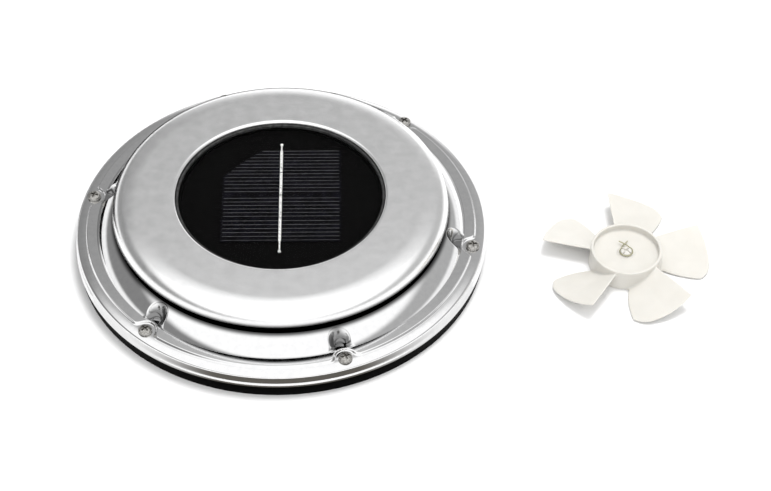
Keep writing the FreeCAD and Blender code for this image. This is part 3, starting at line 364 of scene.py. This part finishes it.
def sheet_faces(rows, columns, close_rows=False, close_columns=False):
    """Quads over a grid of points, counted along the columns first."""
    faces = []
    for i in range(rows if close_rows else rows - 1):
        for j in range(columns if close_columns else columns - 1):
            a = i * columns + j
            b = i * columns + (j + 1) % columns
            c = ((i + 1) % rows) * columns + (j + 1) % columns
            d = ((i + 1) % rows) * columns + j
            faces.append((a, b, c, d))
    return faces


def arc_points(centre_r, centre_z, radius, first, last, steps):
    """Points of an arc in the plane of radius and height, from one angle to another."""
    angles = np.radians(np.linspace(first, last, steps + 1))
    return [(centre_r + radius * math.cos(a), centre_z + radius * math.sin(a)) for a in angles]


def lathe(profile, columns):
    """Points and faces of a closed outline of (radius, height) turned once about Z."""
    turns = np.arange(columns) * 2 * math.pi / columns
    points = [(r * math.cos(a), r * math.sin(a), z) for r, z in profile for a in turns]
    return points, sheet_faces(len(profile), columns, True, True)


def solid_lathe(profile, columns):
    """The same for an outline that starts and ends on the axis, with a point at each pole."""
    points, _ = lathe(profile[1:-1], columns)
    rows = len(profile) - 2
    faces = sheet_faces(rows, columns, False, True)
    first = len(points)
    points.append((0.0, 0.0, profile[0][1]))
    points.append((0.0, 0.0, profile[-1][1]))
    last_row = (rows - 1) * columns
    for j in range(columns):
        k = (j + 1) % columns
        faces.append((first, k, j))
        faces.append((first + 1, last_row + j, last_row + k))
    return points, faces


def merged(parts):
    """Several (points, faces) as one."""
    points = []
    faces = []
    for some_points, some_faces in parts:
        offset = len(points)
        points += [tuple(p) for p in some_points]
        faces += [tuple(i + offset for i in face) for face in some_faces]
    return points, faces


def applied(piece):
    """Replaces the piece's mesh by the result of its modifiers."""
    graph = bpy.context.evaluated_depsgraph_get()
    mesh = bpy.data.meshes.new_from_object(piece.evaluated_get(graph))
    piece.modifiers.clear()
    piece.data = mesh


def place(piece, body, slot, *nodes):
    """Gives a piece the material of its slot, puts it in its body and hides the CAD nodes that it stands
    for.
    """
    piece.data.materials.clear()
    piece.data.materials.append(MATERIALS[slot])
    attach(piece, body)
    if nodes:
        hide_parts(*nodes)


def fold(distance, inside, outside, split=0.0):
    """0 at -inside to 1 at outside, hollow up to split and rounded beyond it."""
    span = inside + outside
    hollow = (distance + inside) ** 2 / (span * (inside + split))
    rounded = 1 - (outside - distance) ** 2 / (span * (outside - split))
    between = np.where(distance < split, hollow, rounded)
    return np.where(distance <= -inside, 0.0, np.where(distance >= outside, 1.0, between))


def smooth_min(a, b, width):
    near = np.maximum(width - np.abs(a - b), 0.0) / width
    return np.minimum(a, b) - near * near * width / 4


def box_mm(node):
    low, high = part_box(node)
    return low / MM, high / MM


# ---- trim ring -----------------------------------------------------------------------------
TRIM_LOW, TRIM_HIGH = box_mm("trim_ring")
CAP_LOW, CAP_HIGH = box_mm("rain_cap")
TRIM_RADIUS = (TRIM_HIGH.y - TRIM_LOW.y) / 2
CAP_RADIUS = (CAP_HIGH.y - CAP_LOW.y) / 2
LIP_BOTTOM = TRIM_LOW.z
RIM_RADIUS = CAP_RADIUS - RIM_SETBACK
RING_TOP = TRIM_HIGH.z - RING_BELOW
RIM_TOP = RING_TOP + SKIRT_RISE
FLANGE_TOP = RING_TOP - STEP_RISE
STEP_RADIUS = TRIM_RADIUS - STEP_INSET
CREASE_RADIUS = STEP_RADIUS - RING_WIDTH
SCREW_CIRCLE = TRIM_RADIUS - SCREW_INSET


def skirt_height(radius):
    """Height of the skirt's arc, which runs from the crease up to the rim."""
    across = CREASE_RADIUS - RIM_RADIUS
    chord = math.hypot(across, SKIRT_RISE)
    arc_radius = chord ** 2 / (8 * SKIRT_BULGE) + SKIRT_BULGE / 2
    sink = arc_radius - SKIRT_BULGE
    centre_r = (CREASE_RADIUS + RIM_RADIUS) / 2 - SKIRT_RISE / chord * sink
    centre_z = (RING_TOP + RIM_TOP) / 2 - across / chord * sink
    return centre_z + np.sqrt(arc_radius ** 2 - (np.minimum(radius, CREASE_RADIUS) - centre_r) ** 2)


def niche_distance(u, v):
    """Signed distance from the niche's bell shaped outline, negative inside it."""
    centre = SCREW_CIRCLE - NICHE_REACH + NICHE_RADIUS
    half = NICHE_RADIUS + NICHE_FLARE
    side = np.abs(v)
    behind = np.hypot(u - centre, side) - NICHE_RADIUS
    within = NICHE_FLARE - np.hypot(u - centre, np.minimum(side - half, 0.0))
    fade = np.clip((side - half) / NICHE_FLARE, 0.0, 1.0)
    beside = NICHE_FLARE - np.maximum(u - centre, 0.0) * (1 - fade)
    in_front = np.where(side < half, within, beside)
    return np.where(u < centre, behind, in_front)


def beside_screw(radius, turn):
    """Place outwards and sideways in the frame of the nearest screw's direction."""
    share = 2 * math.pi / SCREW_COUNT
    local = (turn - math.radians(SCREW_ANGLE) + share / 2) % share - share / 2
    return radius * np.cos(local), radius * np.sin(local)


def trim_height(radius, turn):
    """Height of the trim ring's upper face inside the lip's corner."""
    u, v = beside_screw(radius, turn)
    rise = fold(niche_distance(u, v), NICHE_HOLLOW, NICHE_FOLD, 0.3)
    skirt = (skirt_height(radius) - RING_TOP) * rise
    recess = np.hypot(u - SCREW_CIRCLE, v) - RECESS_RADIUS
    step = fold(smooth_min(STEP_RADIUS - radius, recess, RECESS_BLEND), STEP_HALF, STEP_HALF)
    width = TRIM_RADIUS - LIP_SETBACK - LIP_CORNER - STEP_RADIUS
    outside = np.clip((radius - STEP_RADIUS) / width, 0.0, 1.0)
    return FLANGE_TOP + STEP_RISE * step - FLANGE_CROWN * outside ** 2 + skirt


def trim_painted_shade(radius, turn, height):
    """Painted shade as a share of the metal's brightness: darker by the cap's gap, in the niches and
    along their foot, with a lighter middle painted into each niche.
    """
    inside = -niche_distance(*beside_screw(radius, turn))
    in_skirt = np.where(radius < SCREW_CIRCLE - RECESS_RADIUS - STEP_HALF, 1.0, 0.0)
    light = NICHE_LIGHT * fold(inside, *NICHE_LIGHT_EDGE)
    hollow = fold(inside, *NICHE_SHADE_EDGE) * (1 - light) * in_skirt
    gap = 1 - fold(np.full(len(turn), radius), -GAP_RADII[0], GAP_RADII[1], sum(GAP_RADII) / 2)
    rise = np.where(radius < CREASE_RADIUS + 0.01, height - RING_TOP, 1.0)
    foot = np.exp(-((rise - CREASE_LEVEL) / CREASE_SPREAD) ** 2)
    return (1 - NICHE_SHADE * hollow) * (1 - GAP_SHADE * gap) * (1 - CREASE_SHADE * foot)


def screw_columns():
    """Angles round the ring, close together near the screws."""
    share = 360.0 / SCREW_COUNT
    near = np.arange(-SCREW_ZONE, SCREW_ZONE, FINE_TURN)
    far = np.arange(SCREW_ZONE, share - SCREW_ZONE, COARSE_TURN)
    block = np.concatenate([near, far])
    return np.radians(np.concatenate([SCREW_ANGLE + k * share + block for k in range(SCREW_COUNT)]))


def make_trim_ring():
    """Skirt, flange, lip and hem as one sheet of rows from the rim outwards, given its thickness."""
    corner_r = TRIM_RADIUS - LIP_SETBACK - LIP_CORNER
    radii = np.concatenate([
        np.arange(RIM_RADIUS, CREASE_RADIUS - 0.01, SKIRT_GRID),
        [CREASE_RADIUS],
        np.arange(CREASE_RADIUS + GRID, corner_r, GRID),
    ])
    turns = screw_columns()
    rows = [(radius, trim_height(radius, turns)) for radius in radii]
    edge_z = trim_height(corner_r, turns)
    tilt = math.degrees(math.atan(2 * FLANGE_CROWN / (corner_r - STEP_RADIUS)))
    for r, z in arc_points(corner_r, -LIP_CORNER, LIP_CORNER, 90 - tilt, 0, 10):
        rows.append((r, edge_z + z))
    hem_top = LIP_BOTTOM + HEM_HEIGHT
    for share in np.linspace(0.15, 1.0, 12):
        z = hem_top + (edge_z - LIP_CORNER - hem_top) * (1 - share)
        rows.append((TRIM_RADIUS - LIP_SETBACK, z))
    for share in np.linspace(0.1, 1.0, 10):
        flare = share * share * (3 - 2 * share)
        radius = TRIM_RADIUS - LIP_SETBACK * (1 - flare)
        rows.append((radius, np.full(len(turns), hem_top - HEM_HEIGHT * share)))
    points = [(r * math.cos(a), r * math.sin(a), z)
              for r, heights in rows for a, z in zip(turns, heights)]
    faces = sheet_faces(len(rows), len(turns), False, True)
    mesh = mesh_of("trim_ring_skin", points, [face[::-1] for face in faces])
    # painted shade of the gap, niches and crease on the skirt and flange; the lip and hem rows get none
    painted_shades = [trim_painted_shade(radius, turns, trim_height(radius, turns)) for radius in radii]
    painted_shades += [np.ones(len(turns))] * (len(rows) - len(radii))
    set_painted_shade(mesh, np.concatenate(painted_shades))
    piece = new_piece("trim_ring_skin", mesh, 50)
    wall = piece.modifiers.new("sheet", "SOLIDIFY")
    wall.thickness = SHEET * MM
    wall.offset = -1.0
    wall.use_quality_normals = True
    applied(piece)
    piece.data.shade_smooth()
    piece.data.set_sharp_from_angle(angle=math.radians(32))
    place(piece, "vent", "trim_steel", "trim_ring")


def slotted_head(radius, height, rim, slot_width, slot_reach, slot_depth, bore=0.0):
    """Round head with a domed top from the height rim, a cross slot and a flat foot at height 0."""
    columns = 96
    turns = np.arange(columns) * 2 * math.pi / columns
    radii = radius * np.sin(np.linspace(0.02, 1.0, 40) * math.pi / 2)
    points = []
    for r in radii:
        dome = rim + (height - rim) * np.sqrt(max(0.0, 1 - (r / radius) ** 2.6))
        x = r * np.cos(turns)
        y = r * np.sin(turns)
        reach = slot_reach - r
        along_x = smooth_min(slot_width / 2 - np.abs(y), reach, 0.1)
        along_y = smooth_min(slot_width / 2 - np.abs(x), reach, 0.1)
        cut = np.maximum(fold(along_x, 0.07, 0.07), fold(along_y, 0.07, 0.07))
        if bore:
            cut = np.maximum(cut, fold(np.full(columns, bore - r), 0.1, 0.1))
        z = dome - slot_depth * cut
        points += list(zip(x, y, z))
    points += [(radius * math.cos(a), radius * math.sin(a), 0.0) for a in turns]
    rows = len(radii) + 1
    faces = [face[::-1] for face in sheet_faces(rows, columns, False, True)]
    top = len(points)
    points.append((0.0, 0.0, height - slot_depth))
    points.append((0.0, 0.0, 0.0))
    last_row = (rows - 1) * columns
    for j in range(columns):
        k = (j + 1) % columns
        faces.append((top, j, k))
        faces.append((last_row + k, last_row + j, top + 1))
    return points, faces


def turned_points(points, degrees, shift):
    """The points turned about Z and then moved."""
    a = math.radians(degrees)
    array = np.asarray(points)
    x = array[:, 0] * math.cos(a) - array[:, 1] * math.sin(a) + shift[0]
    y = array[:, 0] * math.sin(a) + array[:, 1] * math.cos(a) + shift[1]
    return np.stack([x, y, array[:, 2] + shift[2]], 1)


def make_trim_screws():
    low, high = box_mm("trim_screws")
    seat = high.z - HEAD_HEIGHT
    head = slotted_head(HEAD_RADIUS, HEAD_HEIGHT, HEAD_EDGE, CROSS_WIDTH, CROSS_REACH, CROSS_DEPTH)
    top = seat + SHANK_INTO
    shank = solid_lathe([(0, top), (SHANK_RADIUS, top), (SHANK_RADIUS, low.z + SHANK_POINT),
                         (SHANK_TIP, low.z), (0, low.z)], 32)
    shank = (np.asarray(shank[0]) - (0, 0, seat), shank[1])
    parts = []
    for k, turn in enumerate(SCREW_TURNS):
        a = math.radians(SCREW_ANGLE + k * 360.0 / SCREW_COUNT)
        centre = (SCREW_CIRCLE * math.cos(a), SCREW_CIRCLE * math.sin(a), seat)
        for points, faces in (head, shank):
            parts.append((turned_points(points, turn, centre), faces))
    piece = new_piece("pan_head_screws", mesh_of("pan_head_screws", *merged(parts)), 40)
    place(piece, "vent", "screw_steel", "trim_screws")


# ---- rain cap and window seal --------------------------------------------------------------
def make_rain_cap():
    top = CAP_HIGH.z
    slope = math.radians(CROWN_SLOPE)
    crown_radius = SHOULDER + (CROWN_WIDTH - SHOULDER) / math.sin(slope)
    crown = (CAP_RADIUS - CROWN_WIDTH, top - crown_radius)
    beyond = crown_radius - SHOULDER
    shoulder = (crown[0] + beyond * math.sin(slope), crown[1] + beyond * math.cos(slope))
    last = math.degrees(math.asin((CAP_LOW.z - shoulder[1]) / SHOULDER))
    roll_inner = box_mm("window_seal")[1].x + SEAL_GAP
    roll = (roll_inner + WINDOW_ROLL, top - WINDOW_ROLL)
    lip = roll[1] - WINDOW_LIP
    flat = np.linspace(roll[0] + FLAT_MARGIN, crown[0] - FLAT_MARGIN, 10)
    profile = [(roll_inner, lip), (roll_inner, lip + WINDOW_LIP / 2)]
    profile += arc_points(*roll, WINDOW_ROLL, 180, 90, 14)
    profile += [(r, top) for r in flat]
    profile += arc_points(*crown, crown_radius, 90, 90 - CROWN_SLOPE, 16)
    profile += arc_points(*shoulder, SHOULDER, 90 - CROWN_SLOPE, last, 44)[1:]
    profile += arc_points(*shoulder, SHOULDER - CAP_SHEET, last, 90 - CROWN_SLOPE, 36)
    profile += arc_points(*crown, crown_radius - CAP_SHEET, 90 - CROWN_SLOPE, 90, 12)[1:]
    profile += [(r, top - CAP_SHEET) for r in flat[::-1]]
    profile += arc_points(*roll, WINDOW_ROLL - CAP_SHEET, 90, 180, 8)
    profile.append((roll_inner + CAP_SHEET, lip))
    points, faces = lathe(profile, 384)
    mesh = mesh_of("rain_cap_skin", points, faces[::-1])
    # painted shade darkening the cap towards its edge
    above = np.array(points)[:, 2] - CAP_LOW.z
    shade = fold(-above, EDGE_SHADE_TOP, EDGE_SHADE_FOOT, -EDGE_SHADE_TURN)
    set_painted_shade(mesh, 1 - EDGE_SHADE * shade)
    piece = new_piece("rain_cap_skin", mesh, 40)
    place(piece, "vent", "cap_steel", "rain_cap")


def make_window_seal():
    low, high = box_mm("window_seal")
    inner = box_mm("window")[1].x
    width = high.x - inner
    round_r = width / 2
    middle = inner + round_r
    profile = [(inner, low.z), (inner, high.z - round_r)]
    profile += arc_points(middle, high.z - round_r, round_r, 180, 0, 14)
    profile += [(high.x, low.z)]
    points, faces = lathe(profile, 256)
    piece = new_piece("window_gasket", mesh_of("window_gasket", points, faces), 40)
    place(piece, "vent", "seal_rubber", "window_seal")


# ---- impellers -----------------------------------------------------------------------------
def blade_side(x, across):
    """From the blade's axis to its side at a distance from the hub's axis, the low side first."""
    share = min(max((x - HUB_RADIUS) / (IMPELLER_RADIUS - HUB_RADIUS), 0.0), 1.0)
    if across < 0:
        return ROOT_HALF + (LOW_HALF - ROOT_HALF) * math.sin(share * math.pi / 2) ** 0.8
    return ROOT_HALF + (TIP_HALF - ROOT_HALF) * share ** 0.9


def blade_end(across):
    """How far out the blade reaches along a line of constant share of its chord."""
    corner_y = -LOW_HALF + TIP_CORNER
    corner_x = math.sqrt(IMPELLER_RADIUS ** 2 - LOW_HALF ** 2) - TIP_CORNER + TIP_CORNER_OUT
    x = IMPELLER_RADIUS
    for _ in range(40):
        y = across * blade_side(x, across)
        reach = math.sqrt(IMPELLER_RADIUS ** 2 - y * y)
        if y < corner_y:
            rounding = max(0.0, TIP_CORNER ** 2 - (y - corner_y) ** 2)
            reach = min(reach, corner_x + math.sqrt(rounding))
        x = 0.5 * x + 0.5 * reach
    return x


def blade():
    """Closed blade on the +X axis, its +Y edge high, from inside the hub's wall to the tip."""
    along, across = 26, 31
    shares = np.sin(np.linspace(-1, 1, across) * math.pi / 2)
    root = HUB_RADIUS - HUB_WALL / 2
    upper = []
    lower = []
    for i in range(along):
        q = i / (along - 1)
        for t in shares:
            start = math.sqrt(root ** 2 - (t * ROOT_HALF) ** 2)
            x = start + (blade_end(t) - start) * q
            y = t * blade_side(x, t)
            middle = BLADE_LOW + (BLADE_HIGH - BLADE_LOW) * (t + 1) / 2
            middle -= BLADE_CAMBER * (1 - t * t) * (ROOT_CAMBER + (1 - ROOT_CAMBER) * q)
            half = BLADE_THICK / 2 * (1 - TIP_THINNING * q) * (1 - SIDE_THINNING * t * t)
            upper.append((x, y, middle + half))
            lower.append((x, y, max(0.0, middle - half)))
    top = sheet_faces(along, across)
    count = along * across
    faces = [face[::-1] for face in top] + [tuple(i + count for i in face) for face in top]
    loop = list(range(across))
    loop += [i * across + across - 1 for i in range(1, along)]
    loop += [(along - 1) * across + j for j in range(across - 2, -1, -1)]
    loop += [i * across for i in range(along - 2, 0, -1)]
    for k, a in enumerate(loop):
        b = loop[(k + 1) % len(loop)]
        faces.append((a, b, b + count, a + count))
    return upper + lower, faces


def hub_parts():
    foot = HUB_RADIUS + HUB_TAPER
    wall = lathe([(foot - HUB_WALL, 0), (foot, 0), (HUB_RADIUS, HUB_HEIGHT),
                  (HUB_RADIUS - HUB_WALL, HUB_HEIGHT)], 160)
    web_r = HUB_RADIUS - HUB_WALL / 2
    web = solid_lathe([(0, WEB_TOP - WEB_THICK), (web_r, WEB_TOP - WEB_THICK), (web_r, WEB_TOP),
                       (0, WEB_TOP)], 160)
    low = WEB_TOP - WEB_THICK - BOSS_BELOW
    high = WEB_TOP + BOSS_PROUD
    boss = lathe([(BORE_RADIUS, low), (BOSS_RADIUS, low), (BOSS_RADIUS, high), (BORE_RADIUS, high)], 64)
    return [wall, web, boss]


def top_centre(node):
    """Middle of a CAD node's highest points, in millimetres: the axis of an impeller's hub."""
    points = np.array([v.co[:] for v in frame["nodes"][node].data.vertices]) / MM
    crown = points[points[:, 2] > points[:, 2].max() - 0.01]
    return (crown.min(0) + crown.max(0)) / 2


def moulded_impeller():
    """One impeller at the origin with its foot at height 0, remeshed to one skin."""
    parts = hub_parts()
    points, faces = blade()
    for k in range(BLADE_COUNT):
        parts.append((turned_points(points, k * 360.0 / BLADE_COUNT, (0, 0, 0)), faces))
    piece = new_piece("moulding", mesh_of("moulding", *merged(parts)))
    remesh = piece.modifiers.new("skin", "REMESH")
    remesh.mode = "VOXEL"
    remesh.voxel_size = VOXEL * MM
    smooth = piece.modifiers.new("soften", "SMOOTH")
    smooth.factor = 0.5
    smooth.iterations = 6
    applied(piece)
    return piece


def make_impeller(moulding, name, node, body, turn, mirrored):
    """A copy of the moulding, with its slotted collet, in the place of a CAD impeller."""
    centre = top_centre(node)
    shift = Vector((centre[0], centre[1], centre[2] - HUB_HEIGHT)) * MM
    mirror = Matrix.Scale(-1 if mirrored else 1, 4, (0, 1, 0))
    seated = Matrix.Translation(shift) @ Matrix.Rotation(math.radians(turn), 4, "Z") @ mirror
    mesh = moulding.data.copy()
    mesh.transform(seated)
    if mirrored:
        mesh.flip_normals()
    piece = new_piece(name, mesh, 60)
    place(piece, body, "impeller_plastic", node)
    height = COLLET_PROUD + WEB_THICK / 2
    points, faces = slotted_head(COLLET_RADIUS, height, height - COLLET_DOME, SLOT_WIDTH,
                                 COLLET_RADIUS + 1, SLOT_DEPTH, BORE_RADIUS)
    points = turned_points(points, COLLET_TURN, (0, 0, WEB_TOP - WEB_THICK / 2))
    collet = mesh_of(name + "_collet", points, faces)
    collet.transform(seated)
    if mirrored:
        collet.flip_normals()
    place(new_piece(name + "_collet", collet, 40), body, "impeller_plastic")


def make_impellers():
    moulding = moulded_impeller()
    make_impeller(moulding, "spare_impeller_moulding", "intake_impeller", "spare_impeller",
                  SPARE_ANGLE, False)
    make_impeller(moulding, "fitted_impeller_moulding", "exhaust_impeller", "rotor", 0.0, True)
    bpy.data.objects.remove(moulding)


# ---- CAD nodes' materials ------------------------------------------------------------------
def finish_cad_nodes():
    """Each carried-over CAD node takes the material of its slot."""
    for subpart in frame["record"]["subparts"]:
        node = frame["nodes"][subpart["node"]]
        node.data.materials.clear()
        node.data.materials.append(MATERIALS[subpart["material_slot"]])


# ---- studio --------------------------------------------------------------------------------
# directions are unit vectors: X right, Y to the back, Z up
LEFT_GREY = 0.27
RIGHT_GREY = 0.50
SOFTBOX = 1.25
SOFTBOX_AXIS = (0.0, -0.35, 0.94)
SOFTBOX_NARROWING = 0.15     # how much the softbox gives way towards the sides
SOFTBOX_EDGE = (0.41, 0.60)
BACKDROP = 1.3
BACKDROP_AXIS = (0.17, 0.98, 0.10)
BACKDROP_EDGE = (0.88, 0.95)
HORIZON = 1.1
HORIZON_EDGE = (0.24, 0.10)
FLOOR_GLOW = 1.05
FLOOR_HALF = 3000.0
CARD_LEVEL = 0.6             # height of the cards above the floor
CARD_GAP = 1.0               # from the trim ring to the cards
MIX_A, MIX_B, MIX_RESULT = 6, 7, 2    # the colour sockets of a mix node
KEY_PLACE = (0.34, 0.22, 1.6)
KEY_AIM = (0.08, 0.0, 0.0)
KEY_SIZE = 0.6
KEY_POWER = 14.0


class Sums:
    """Arithmetic of shader nodes."""

    def __init__(self, tree):
        self.tree = tree

    def math(self, operation, first, second=0.0):
        node = self.tree.nodes.new("ShaderNodeMath")
        node.operation = operation
        for socket, value in zip(node.inputs, (first, second)):
            if isinstance(value, float):
                socket.default_value = value
            else:
                self.tree.links.new(value, socket)
        return node.outputs[0]

    def along(self, direction, axis):
        node = self.tree.nodes.new("ShaderNodeVectorMath")
        node.operation = "DOT_PRODUCT"
        self.tree.links.new(direction, node.inputs[0])
        node.inputs[1].default_value = axis
        return node.outputs["Value"]

    def step(self, value, low, high, first=0.0, last=1.0):
        """Smooth step from first to last while the value goes from low to high."""
        node = self.tree.nodes.new("ShaderNodeMapRange")
        node.interpolation_type = "SMOOTHSTEP"
        self.tree.links.new(value, node.inputs["Value"])
        for name, number in (("From Min", low), ("From Max", high), ("To Min", first), ("To Max", last)):
            node.inputs[name].default_value = number
        return node.outputs["Result"]

    def mix(self, factor, first, second):
        """From first to the number second, by the factor."""
        rest = self.math("MULTIPLY", first, self.math("SUBTRACT", 1.0, factor))
        return self.math("ADD", rest, self.math("MULTIPLY", factor, second))


def make_surroundings():
    """Grey studio with a softbox above, towards the camera, and a bright strip of backdrop."""
    world = bpy.data.worlds.new("studio")
    world.use_nodes = True
    bpy.context.scene.world = world
    tree = world.node_tree
    background = tree.nodes["Background"]
    background.inputs["Color"].default_value = (1, 1, 1, 1)
    toward = tree.nodes.new("ShaderNodeTexCoord").outputs["Generated"]
    sums = Sums(tree)
    across = sums.along(toward, (1, 0, 0))
    value = sums.step(across, -0.6, 0.6, LEFT_GREY, RIGHT_GREY)
    aside = sums.math("MULTIPLY", sums.math("ABSOLUTE", across), SOFTBOX_NARROWING)
    overhead = sums.math("SUBTRACT", sums.along(toward, SOFTBOX_AXIS), aside)
    value = sums.mix(sums.step(overhead, *SOFTBOX_EDGE), value, SOFTBOX)
    value = sums.mix(sums.step(sums.along(toward, BACKDROP_AXIS), *BACKDROP_EDGE), value, BACKDROP)
    height = sums.math("ABSOLUTE", sums.along(toward, (0, 0, 1)))
    value = sums.mix(sums.step(height, *HORIZON_EDGE), value, HORIZON)
    tree.links.new(value, background.inputs["Strength"])


def make_floor():
    steps = 8
    line = np.linspace(-FLOOR_HALF, FLOOR_HALF, steps + 1)
    points = [(x, y, 0.0) for y in line for x in line]
    floor = new_piece("floor", mesh_of("floor", points, sheet_faces(steps + 1, steps + 1)))
    material = new_material("pale_floor", (0.9, 0.9, 0.9), 0.9, Specular_IOR_Level=0.0)
    vary_colour(material, 40.0, (0.89, 0.89, 0.89), (0.91, 0.91, 0.91))
    floor.data.materials.append(material)


def sector(inner, outer, first, last, height, steps=48):
    """Flat part of a ring between two angles."""
    turns = np.radians(np.linspace(first, last, steps + 1))
    points = [(r * math.cos(a), r * math.sin(a), height) for r in (inner, outer) for a in turns]
    return points, sheet_faces(2, steps + 1)


def make_card(name, points, faces, brightness, fade=None):
    """Card that is seen only in reflections; with fade, it turns as bright as the floor sideways."""
    card = new_piece(name, mesh_of(name, points, faces))
    material = new_material(name, (0, 0, 0), 1.0, Specular_IOR_Level=0.0)
    tree = material.node_tree
    shader = tree.nodes["Principled BSDF"]
    shader.inputs["Emission Color"].default_value = (*brightness, 1)
    shader.inputs["Emission Strength"].default_value = 1.0
    if fade:
        sums = Sums(tree)
        where = tree.nodes.new("ShaderNodeTexCoord").outputs["Object"]
        side = sums.math("ABSOLUTE", sums.along(where, (1, 0, 0)))
        mix = tree.nodes.new("ShaderNodeMix")
        mix.data_type = "RGBA"
        tree.links.new(sums.step(side, fade[0] * MM, fade[1] * MM), mix.inputs["Factor"])
        mix.inputs[MIX_A].default_value = (*brightness, 1)
        mix.inputs[MIX_B].default_value = (FLOOR_GLOW, FLOOR_GLOW, FLOOR_GLOW, 1)
        tree.links.new(mix.outputs[MIX_RESULT], shader.inputs["Emission Color"])
    card.data.materials.append(material)
    card.visible_camera = False
    card.visible_diffuse = False
    card.visible_shadow = False
    card.visible_transmission = False
    card.visible_volume_scatter = False


def make_cards():
    inner = TRIM_RADIUS + CARD_GAP
    behind = sector(inner, 420, 60, 165, CARD_LEVEL)
    before = sector(inner, inner + 24, 200, 340, CARD_LEVEL)
    make_card("back_card", *behind, (0.0, 0.0, 0.0))
    make_card("front_card", *before, (0.14, 0.13, 0.115), (40, 95))


def make_key_light():
    """Disk light from above, which isn't seen in reflections."""
    light = bpy.data.lights.new("key", "AREA")
    light.shape = "DISK"
    light.size = KEY_SIZE
    light.energy = KEY_POWER
    holder = bpy.data.objects.new("key", light)
    holder.location = KEY_PLACE
    aim = Vector(KEY_AIM) - Vector(KEY_PLACE)
    holder.rotation_euler = aim.to_track_quat("-Z", "Y").to_euler()
    holder.visible_glossy = False
    bpy.context.scene.collection.objects.link(holder)


# ---- camera --------------------------------------------------------------------------------
CAMERA_PLACE = Vector((0.0, -0.75755, 0.76990))
CAMERA_AIM = Vector((0.055593, -0.006688, 0.0))
CAMERA_ROLL = 0.837
CAMERA_LENS = 93.03


def make_camera():
    camera = bpy.data.cameras.new("camera")
    camera.lens = CAMERA_LENS
    camera.sensor_width = 36.0
    holder = bpy.data.objects.new("camera", camera)
    bpy.context.scene.collection.objects.link(holder)
    ahead = (CAMERA_AIM - CAMERA_PLACE).normalized()
    level = ahead.cross(Vector((0, 0, 1))).normalized()
    upright = level.cross(ahead)
    roll = math.radians(CAMERA_ROLL)
    right = level * math.cos(roll) + upright * math.sin(roll)
    up = upright * math.cos(roll) - level * math.sin(roll)
    rotation = Matrix((right, up, -ahead)).transposed().to_4x4()
    holder.matrix_world = Matrix.Translation(CAMERA_PLACE) @ rotation
    bpy.context.scene.camera = holder


finish_cad_nodes()
make_trim_ring()
make_trim_screws()
make_rain_cap()
make_window_seal()
make_impellers()
make_surroundings()
make_floor()
make_cards()
make_key_light()
make_camera()
bpy.context.scene.view_settings.view_transform = "Standard"
